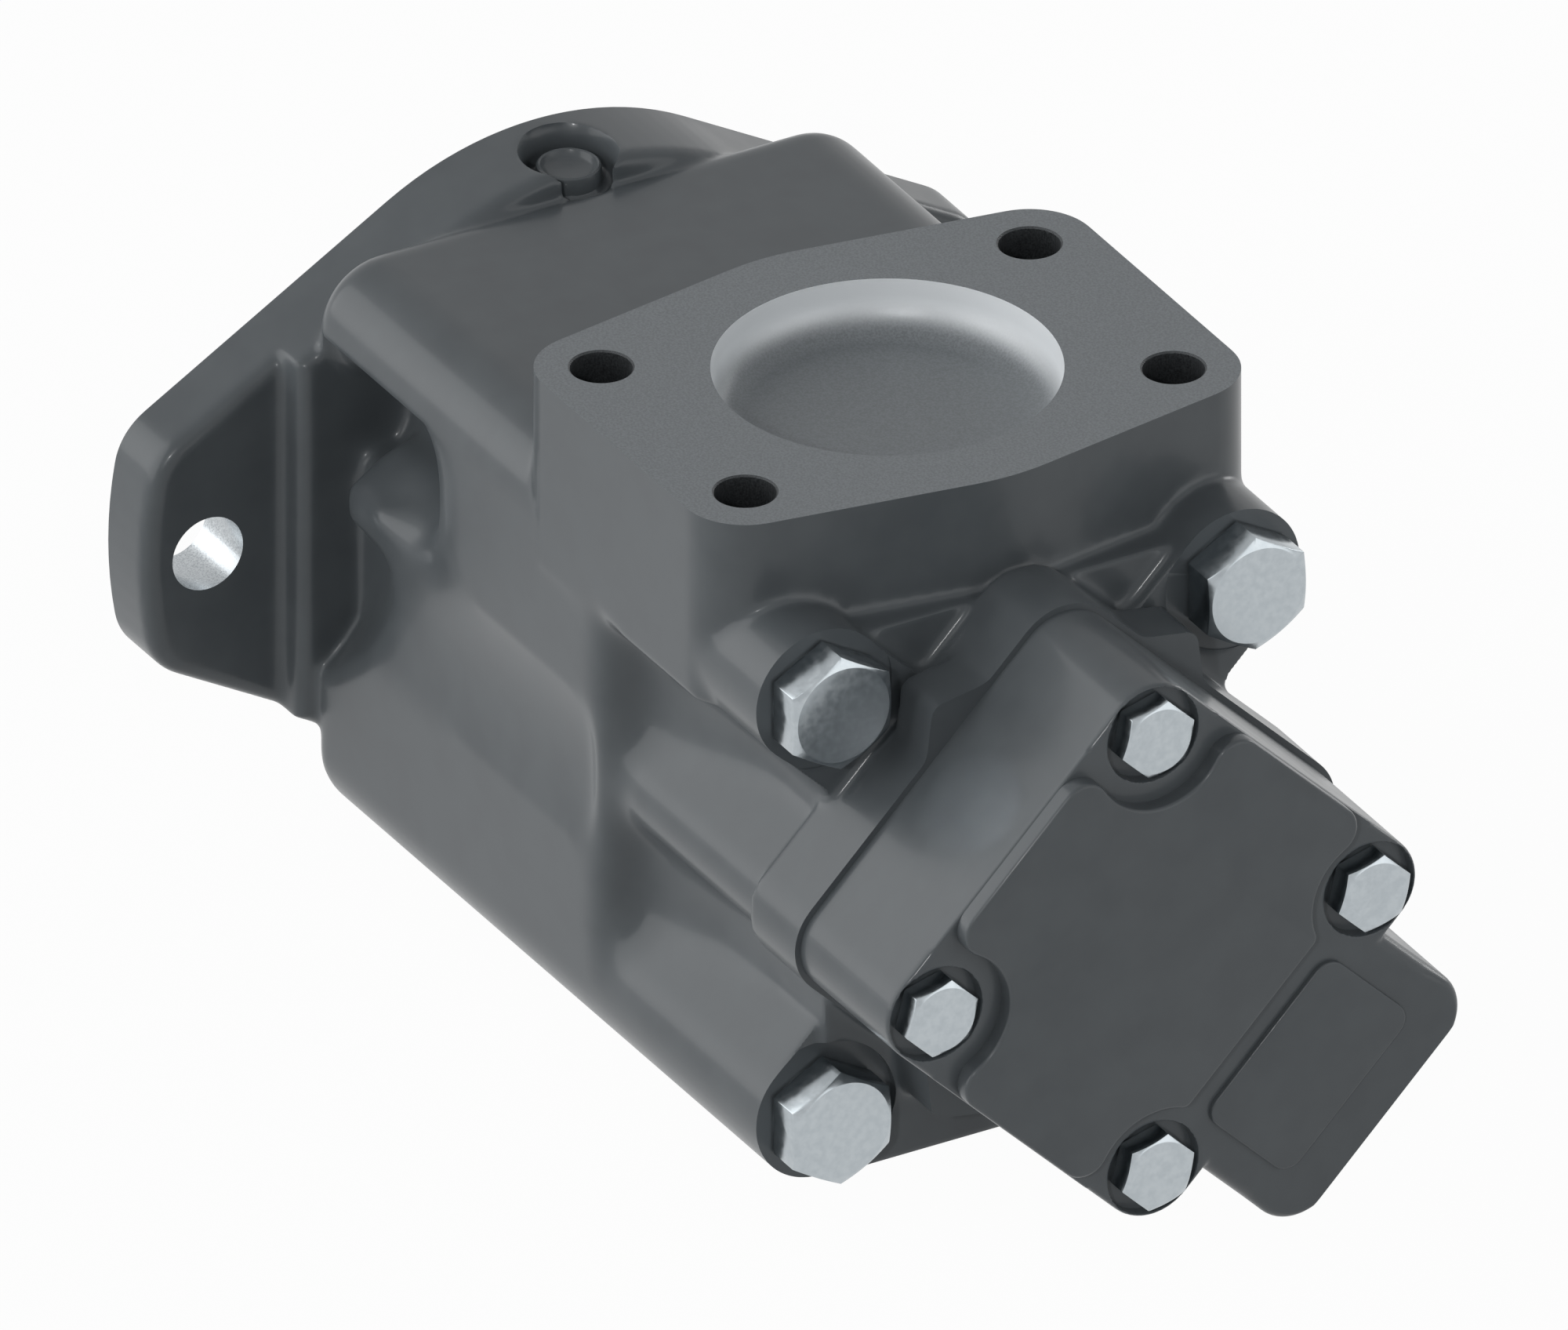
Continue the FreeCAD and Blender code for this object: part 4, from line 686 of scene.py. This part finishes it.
# profiles are (radius, height along the axis); holes are radius, start and end
capCuts = {
    "pilot": [(0, -12.7), (62.0, -12.7), (63.5, -11.2), (63.5, 2.0), (0, 2.0)],
    "bore": [
        (0, -14), (40.05, -14), (40.05, -6.85), (41.6, -6.85), (41.6, -5), (40.05, -5), (40.05, 13),
        (28, 13), (28, 26), (19, 26), (19, 34), (46, 34), (46, 71), (0, 71),
    ],
    "sealGroove": [(58.9, 67.1), (62.0, 67.1), (62.0, 71), (58.9, 71), (58.9, 67.1)],
    "earHole": (8.75, -2, 17.5), "boltHole": (8.05, 32, 71), "p1Tap": (4.25, 61, 78), "tapChamfer": 0.5,
    "p1Port": [(0, 28), (12, 28), (12, 50), (15.9, 50), (15.9, 77.5), (16.4, 78), (16.4, 80), (0, 80)],
    "lug": [
        (0, 56), (7.2, 56), (7.2, 69.2), (7.0, 69.8), (6.6, 70.1), (6.2, 69.9), (5.6, 68.9), (5.0, 68.4),
        (4.4, 68.3), (0, 68.3),
    ],
    "lugGroove": [
        (7.2, 66.5), (9.3, 66.5), (9.8, 68.0), (10.2, 70.8), (10.8, 72.6), (11.4, 73.6), (11.4, 90), (7.2, 90),
        (7.2, 66.5),
    ],
}
capObject = linkObject("mountingCap", body.data.copy())
trim(capObject, 0, 0, -1, machinedSlot)
trim(capObject, 0, pump["jointX"], 1, machinedSlot)
trim(capObject, 2, pump["footZ"], -1, machinedSlot)
carveTurned(capObject, capCuts["pilot"], alongX(), 128, machinedSlot, "UNION")
carveTurned(capObject, capCuts["bore"], alongX(), 128, machinedSlot)
carveTurned(capObject, capCuts["sealGroove"], alongX(), 192, machinedSlot)
carveRods(capObject, *capCuts["earHole"], [alongX(-pump["earY"]), alongX(pump["earY"])], machinedSlot)
carveRods(capObject, *capCuts["boltHole"], boltAxes, holeShadeSlot)
p1Taps = [
    alongZ(pump["p1X"] + x * pump["p1TapX"], y * pump["p1TapY"]) @ upsideDown
    for x, y in ((-1, -1), (1, -1), (1, 1), (-1, 1))
]
carveRods(capObject, *capCuts["p1Tap"], p1Taps, holeShadeSlot, 48, capCuts["tapChamfer"])
carveTurned(capObject, capCuts["p1Port"], alongZ(pump["p1X"]) @ upsideDown, 96, machinedSlot)
carveTurned(capObject, capCuts["lug"], alongZ(pump["lugX"]), 64, operation="UNION")
carveTurned(capObject, capCuts["lugGroove"], alongZ(pump["lugX"]), 64)
dress(capObject, "casing")
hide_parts("mounting_cap")
print("mounting cap:", len(capObject.data.polygons), "faces")

housingCuts = {
    "seat": (17.5, pump["boltSeat"], 231), "boltHole": (8.75, 68, 213),
    "bore": [(0, 68), (56.05, 68), (56.05, 122), (42, 122), (42, 172), (42.05, 172), (42.05, 230), (0, 230)],
    "bowlR": 38.1, "bowlRound": 8, "bowlFloor": 76, "bowlTop": 90,
    "padTap": (6.8, 64, pump["padTop"]), "padTapChamfer": 0.4, "endTap": (5.05, 202, 230),
}
housingObject = linkObject("pumpHousing", body.data.copy())
dropObject(body)
trim(housingObject, 0, pump["jointX"], -1, machinedSlot)
trim(housingObject, 0, pump["endX"], 1)
trim(housingObject, 2, pump["padTop"], 1, padSlot)
carveRods(housingObject, *housingCuts["seat"], boltAxes, paintSlot, 96)
carveRods(housingObject, *housingCuts["boltHole"], boltAxes, holeShadeSlot)
carveTurned(housingObject, housingCuts["bore"], alongX(), 128, machinedSlot)
bowlRound = housingCuts["bowlRound"]
bowlCorner = (housingCuts["bowlR"] - bowlRound, housingCuts["bowlFloor"] + bowlRound)
bowl = [(0, housingCuts["bowlFloor"])]
bowl += [
    (bowlCorner[0] + bowlRound * math.sin(a), bowlCorner[1] - bowlRound * math.cos(a)) for a in quarterTurn(12)
]
bowl += [(housingCuts["bowlR"], housingCuts["bowlTop"]), (0, housingCuts["bowlTop"])]
carveTurned(housingObject, bowl, alongZ(pump["suctionX"]), 160, bowlSlot)
padTaps = [
    alongZ(pump["suctionX"] + x * pump["padTapX"], y * pump["padTapY"]) for x in (-1, 1) for y in (-1, 1)
]
carveRods(housingObject, *housingCuts["padTap"], padTaps, holeShadeSlot, 64, housingCuts["padTapChamfer"])
endTaps = [alongX(y, z) for y, z in crossSpots(pump["endBoltR"])]
carveRods(housingObject, *housingCuts["endTap"], endTaps, holeShadeSlot, 32)
dress(housingObject, "casing")
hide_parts("housing")
print("housing:", len(housingObject.data.polygons), "faces")


# end cap, shaped in its own turned axes, in which its port points down

endSizes = {
    "half": pump["endBoltR"] / math.sqrt(2), "portAim": (0, math.sqrt(0.5), -math.sqrt(0.5)),
    "armHalf": 22.5, "armR": 9.5, "armEnd": 72.3, "armStart": 50.0, "armLow": 236, "armX": 266.0,
    "armRound": 8.0, "armTipRound": 2.5,
    "hub": (34.5, 224, 262), "boltPlug": (6.5, 224, 262.5), "portPlug": (14.5, -85, -10),
    "plateLow": 262.0, "plateHigh": 270.0, "plateSide": 11.7, "plateBottom": -32.0, "plateEdge": 0.9,
    "notchR": 16.0, "mouthR": 6.0, "footR": 2.5,
    "labelY": (-18.0, 17.0), "labelZ": (-44.0, -64.5), "labelR": 4.5, "labelHigh": 267.2, "labelEdge": 0.5,
}
endSkin = {
    "voxel": 0.42, "softRounds": 2, "triangles": 190000,
    "fills": [(evenWeight, {"weight": 0.9}, 3)], "melts": [],
}
endCuts = {
    "seat": (11.25, pump["endBoltSeat"], 275), "boltHole": (5.5, 226, 263),
    "bore": [
        (0, 226), (34.0, 226), (34.0, 236), (30, 236), (30, 246), (16, 246), (16, 260.5), (11.5, 260.5),
        (11.5, 263.5), (0, 263.5),
    ],
    "p2Port": [(0, 24), (9.5, 24), (9.5, 62), (13.5, 62), (13.5, 80), (14.5, 81), (14.5, 83), (0, 83)],
}
turn = Matrix.Rotation(math.pi / 4, 4, "X")


def arcBetween(middle, start, end, steps=10):
    # points of the shorter arc round a middle point, ends included
    low = math.atan2(start.y - middle.y, start.x - middle.x)
    sweep = math.atan2(end.y - middle.y, end.x - middle.x) - low
    sweep = (sweep + math.pi) % (2 * math.pi) - math.pi
    radius = (start - middle).length
    angles = [low + sweep * k / steps for k in range(steps + 1)]
    return [Vector((middle.x + radius * math.cos(a), middle.y + radius * math.sin(a))) for a in angles]


def notchedCorner(corner, sides):
    # outline past one bolt: rounded mouth, round notch, rounded mouth
    s = endSizes
    mouths = []
    for along, out, reach, radius in sides:
        away = math.sqrt((s["notchR"] + radius) ** 2 - (reach - radius) ** 2)
        middle = corner + along * away + out * (reach - radius)
        touch = corner + (middle - corner) * s["notchR"] / (s["notchR"] + radius)
        mouths.append((middle, middle + out * radius, touch))
    first, last = mouths
    points = arcBetween(*first)
    points += arcBetween(corner, first[2], last[2], 28)[1:-1]
    return points + arcBetween(last[0], last[2], last[1])


def plateOutline():
    s = endSizes
    half = s["half"]
    left, up = Vector((-1, 0)), Vector((0, 1))
    wide = (s["plateSide"], s["mouthR"])
    foot = (-(s["plateBottom"] + half), s["footR"])
    points = notchedCorner(Vector((half, half)), [(-up, -left, *wide), (left, up, *wide)])
    points += notchedCorner(Vector((-half, half)), [(-left, up, *wide), (-up, left, *wide)])
    points += notchedCorner(Vector((-half, -half)), [(up, left, *wide), (-left, -up, *foot)])
    return points + notchedCorner(Vector((half, -half)), [(left, -up, *foot), (up, -left, *wide)])


def labelOutline():
    # a rectangle with round corners, from its upper right corner on
    s = endSizes
    points = []
    for y, z in ((1, 0), (0, 0), (0, 1), (1, 1)):
        middle = Vector((s["labelY"][y], s["labelZ"][z]))
        start = math.atan2(1 - 2 * z, 2 * y - 1) - math.pi / 4
        points += [
            middle + Vector((math.cos(start + a), math.sin(start + a))) * s["labelR"] for a in quarterTurn(8)
        ]
    return points


def addPlate(obj, points, low, high, edge):
    # a flat raised face from its outline, with a fine rounded edge
    bm = bmesh.new()
    face = bm.faces.new([bm.verts.new((low * mm, p.x * mm, p.y * mm)) for p in points])
    top = bmesh.ops.extrude_face_region(bm, geom=[face])["geom"]
    raised = [g for g in top if isinstance(g, bmesh.types.BMVert)]
    bmesh.ops.translate(bm, vec=((high - low) * mm, 0, 0), verts=raised)
    bmesh.ops.recalc_face_normals(bm, faces=bm.faces)
    rim = [e for e in bm.edges if all(abs(v.co.x - high * mm) < helperSizes["cadGap"] for v in e.verts)]
    bmesh.ops.bevel(
        bm, geom=rim, offset=edge * mm, offset_type="OFFSET", segments=4, profile=0.5,
        material=-1, affect="EDGES", clamp_overlap=False,
    )
    bmesh.ops.transform(bm, matrix=turn, verts=bm.verts)
    carve(obj, bm, "UNION")


def armRings():
    # the port arm: its upper edges are wide rounds where it starts and fine ones at its tip
    s = endSizes
    rings = [
        (y * s["armHalf"], -z, s["armR"], s["armLow"]) for y in (-1, 1) for z in (s["armStart"], s["armEnd"])
    ]
    for angle in quarterTurn(8):
        inward, down = 1 - math.cos(angle), 1 - math.sin(angle)
        for z, roundR in ((s["armStart"], s["armRound"]), (s["armEnd"], s["armTipRound"])):
            half, x = s["armHalf"] - inward * roundR, s["armX"] - down * roundR
            rings += [(y * half, -z, s["armR"], x) for y in (-1, 1)]
    return rings


def makeEndCap():
    s = endSizes
    bm = cadCopy("end_cap", [
        ((1, 0, 0), pump["endX"], -pump["allowance"]), (s["portAim"], pump["p2Face"], pump["allowance"]),
    ])
    bmesh.ops.transform(bm, matrix=turn.inverted(), verts=bm.verts)
    blank = bmeshObject(bm, "endBlank")
    trimRear(blank, s["armX"])
    bm = takeMesh(blank)
    addHull(bm, armRings())
    addRod(bm, *s["hub"], alongX())
    for y in (-1, 1):
        for z in (-1, 1):
            addRod(bm, *s["boltPlug"], alongX(y * s["half"], z * s["half"]))
    addRod(bm, *s["portPlug"], alongZ(pump["p2X"]))
    obj = castSkin(bm, "endCap", endSkin)
    obj.data.transform(turn)
    addPlate(obj, plateOutline(), s["plateLow"], s["plateHigh"], s["plateEdge"])
    addPlate(obj, labelOutline(), s["armX"] - 1, s["labelHigh"], s["labelEdge"])
    return obj


endObject = makeEndCap()
half = endSizes["half"]
endAxes = [turn @ alongX(y * half, z * half) for y, z in ((1, 1), (-1, 1), (-1, -1), (1, -1))]
trim(endObject, 0, pump["endX"], -1, machinedSlot)
trim(endObject, 2, -pump["p2Face"], -1, padSlot, turn)
carveRods(endObject, *endCuts["seat"], endAxes, paintSlot, 96)
carveRods(endObject, *endCuts["boltHole"], endAxes, holeShadeSlot)
carveTurned(endObject, endCuts["bore"], alongX(), 128, machinedSlot)
carveTurned(endObject, endCuts["p2Port"], turn @ alongZ(pump["p2X"]) @ upsideDown, 96, holeShadeSlot)
dress(endObject, "casing")
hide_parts("end_cap")
print("end cap:", len(endObject.data.polygons), "faces")


# bolts

endBoltR = pump["endBoltR"]
boltKinds = {
    "housingBolts": {
        "node": "housing_bolts", "r": 8.0, "flats": 24.0, "head": 10.0, "seat": pump["boltSeat"],
        "length": 175.0, "turn": 30.0, "rim": 11.4, "spots": boltSpots,
    },
    "endCapBolts": {
        "node": "end_cap_bolts", "r": 5.0, "flats": 16.0, "head": 6.4, "seat": pump["endBoltSeat"],
        "length": 55.0, "turn": 15.0, "rim": 7.6,
        "spots": [(0, endBoltR), (-endBoltR, 0), (0, -endBoltR), (endBoltR, 0)],
    },
}
# slant, edgeAngle and sharp are degrees; tipR and tipRise are shares of the shank's radius
boltShape = {
    "slant": 25.0, "collar": 0.6, "collarIn": 0.3, "sunk": 1, "tipR": 0.8, "tipRise": 0.2,
    "edge": 0.08, "edgeAngle": 18.0, "sharp": 40.0,
}


def makeBolts(name, s):
    # one hex head with a round crown and a round collar, on a plain shank, then copied to every spot
    shape = boltShape
    seat, tip, top = s["seat"], s["seat"] - s["length"], s["seat"] + s["head"]
    corner = s["flats"] / math.sqrt(3)
    bm = bmesh.new()
    bmesh.ops.create_cone(
        bm, cap_ends=True, segments=6, radius1=corner * mm, radius2=corner * mm, depth=s["head"] * mm,
        matrix=Matrix.Translation((0, 0, (seat + s["head"] / 2) * mm))
        @ Matrix.Rotation(math.radians(s["turn"]), 4, "Z"),
    )
    bolt = bmeshObject(bm, "bolt")
    low, sunk = seat + shape["collar"], seat - shape["sunk"]
    collarR = s["flats"] / 2 - shape["collarIn"]
    wide = s["rim"] + (top - low) / math.tan(math.radians(shape["slant"]))
    crown = [(0, sunk), (collarR, sunk), (collarR, low), (wide, low), (s["rim"], top), (0, top)]
    carveTurned(bolt, crown, Matrix(), 96, operation="INTERSECT")
    root = seat + shape["sunk"]
    shank = [
        (0, tip), (s["r"] * shape["tipR"], tip), (s["r"], tip + s["r"] * shape["tipRise"]),
        (s["r"], root), (0, root),
    ]
    carveTurned(bolt, shank, Matrix(), 48, operation="UNION")
    one = takeMesh(bolt)
    steep = math.radians(shape["edgeAngle"])
    bmesh.ops.bevel(
        one, geom=[e for e in one.edges if e.is_manifold and e.calc_face_angle(0) > steep],
        offset=shape["edge"] * mm, offset_type="OFFSET", segments=2, profile=0.5,
        material=-1, affect="EDGES", clamp_overlap=True,
    )
    whole = bmesh.new()
    for y, z in s["spots"]:
        placed = one.copy()
        bmesh.ops.transform(placed, matrix=alongX(y, z), verts=placed.verts)
        pourInto(whole, placed)
    one.free()
    obj = bmeshObject(whole, name, [zinc])
    dress(obj, "casing", shape["sharp"])
    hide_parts(s["node"])
    print(name, len(obj.data.polygons), "faces")


for name, settings in boltKinds.items():
    makeBolts(name, settings)


# the other CAD nodes keep their shape and get a worked finish

slotByNode = {entry["node"]: entry["material_slot"] for entry in frame["record"]["subparts"]}
for name, obj in nodes.items():
    if obj.hide_render:
        continue
    chosen = slotFinish.get(slotByNode.get(name), steel)
    obj.data.materials.clear()
    obj.data.materials.append(chosen)
print("CAD finishes set")


# floor, light and camera

# metres; seen is how far the floor turns to the white backdrop where the camera looks at it
floorSettings = {
    "place": (0.1, 0, -0.0785), "half": 3.0, "grey": (0.60, 0.60, 0.60), "glow": 1.0, "seen": 0.97,
}
worldSettings = {"fill": (0.95, 0.975, 1.0), "fillStrength": 0.17, "white": 1.0}


def lookedAt(tree):
    # the light path, and a node that is one for the camera's own and mirrored looks
    ray = addNode(tree, "ShaderNodeLightPath")
    seen = addNode(tree, "ShaderNodeMath", operation="MAXIMUM")
    tree.links.new(ray.outputs["Is Camera Ray"], seen.inputs[0])
    tree.links.new(ray.outputs["Is Glossy Ray"], seen.inputs[1])
    return ray, seen


def mixInto(tree, outKind, factor, first, second):
    mixed = addNode(tree, "ShaderNodeMixShader")
    out = addNode(tree, outKind)
    tree.links.new(factor.outputs["Value"], mixed.inputs["Fac"])
    tree.links.new(first.outputs[0], mixed.inputs[1])
    tree.links.new(second.outputs[0], mixed.inputs[2])
    tree.links.new(mixed.outputs["Shader"], out.inputs["Surface"])


floorMesh = bmesh.new()
bmesh.ops.create_grid(
    floorMesh, x_segments=1, y_segments=1, size=floorSettings["half"],
    matrix=Matrix.Translation(floorSettings["place"]),
)
floor = bmeshObject(floorMesh, "floor", [])
floorMaterial = bpy.data.materials.new("pale floor")
floorMaterial.use_nodes = True
tree = floorMaterial.node_tree
tree.nodes.clear()
matte = addNode(tree, "ShaderNodeBsdfDiffuse")
matte.inputs["Color"].default_value = (*floorSettings["grey"], 1.0)
glow = addNode(tree, "ShaderNodeEmission")
glow.inputs["Strength"].default_value = floorSettings["glow"]
ray, seen = lookedAt(tree)
share = addNode(tree, "ShaderNodeMath", operation="MULTIPLY")
share.inputs[1].default_value = floorSettings["seen"]
tree.links.new(seen.outputs["Value"], share.inputs[0])
mixInto(tree, "ShaderNodeOutputMaterial", share, matte, glow)
floor.data.materials.append(floorMaterial)

world = bpy.data.worlds.new("studio")
bpy.context.scene.world = world
world.use_nodes = True
tree = world.node_tree
tree.nodes.clear()
fill = addNode(tree, "ShaderNodeBackground")
fill.inputs["Color"].default_value = (*worldSettings["fill"], 1.0)
fill.inputs["Strength"].default_value = worldSettings["fillStrength"]
white = addNode(tree, "ShaderNodeBackground")
white.inputs["Strength"].default_value = worldSettings["white"]
ray, seen = lookedAt(tree)
through = addNode(tree, "ShaderNodeMath", operation="MAXIMUM")
tree.links.new(seen.outputs["Value"], through.inputs[0])
tree.links.new(ray.outputs["Is Transmission Ray"], through.inputs[1])
mixInto(tree, "ShaderNodeOutputWorld", through, fill, white)


def addSun(name, comesFrom, strength, spread):
    data = bpy.data.lights.new(name, "SUN")
    data.energy = strength
    data.angle = math.radians(spread)
    lamp = linkObject(name, data)
    lamp.rotation_mode = "QUATERNION"
    lamp.rotation_quaternion = Vector(comesFrom).to_track_quat("Z", "Y")


addSun("key from the left", (-0.5, -1.0, 0.22), 2.5, 80)
addSun("fill from the right", (1.0, 0.6, 0.15), 0.7, 60)
addSun("rim from behind", (-0.3, 1.0, 0.2), 0.5, 20)
addSun("edge light", (0.66, -0.56, 0.5), 0.5, 3)

# a parallel view from azimuth -30 and elevation 30 degrees, as wide as the photo at its scale
view = {"photoWidth": 2000, "pixelsPerMm": 5.93, "u": 53.565 * mm, "v": -53.508 * mm, "away": 1.5, "clip": 10.0}
right = Vector((0.5, math.sqrt(0.75), 0))
up = Vector((-math.sqrt(0.75) / 2, 0.25, math.sqrt(0.75)))
back = Vector((0.75, -math.sqrt(0.75) / 2, 0.5))
cameraData = bpy.data.cameras.new("camera")
cameraData.type = "ORTHO"
cameraData.ortho_scale = view["photoWidth"] / view["pixelsPerMm"] * mm
cameraData.clip_end = view["clip"]
camera = linkObject("camera", cameraData)
camera.location = right * view["u"] + up * view["v"] + back * view["away"]
camera.rotation_mode = "QUATERNION"
camera.rotation_quaternion = back.to_track_quat("Z", "Y")
bpy.context.scene.camera = camera
print("floor, light and camera set")

bpy.context.scene.view_settings.view_transform = "Standard"
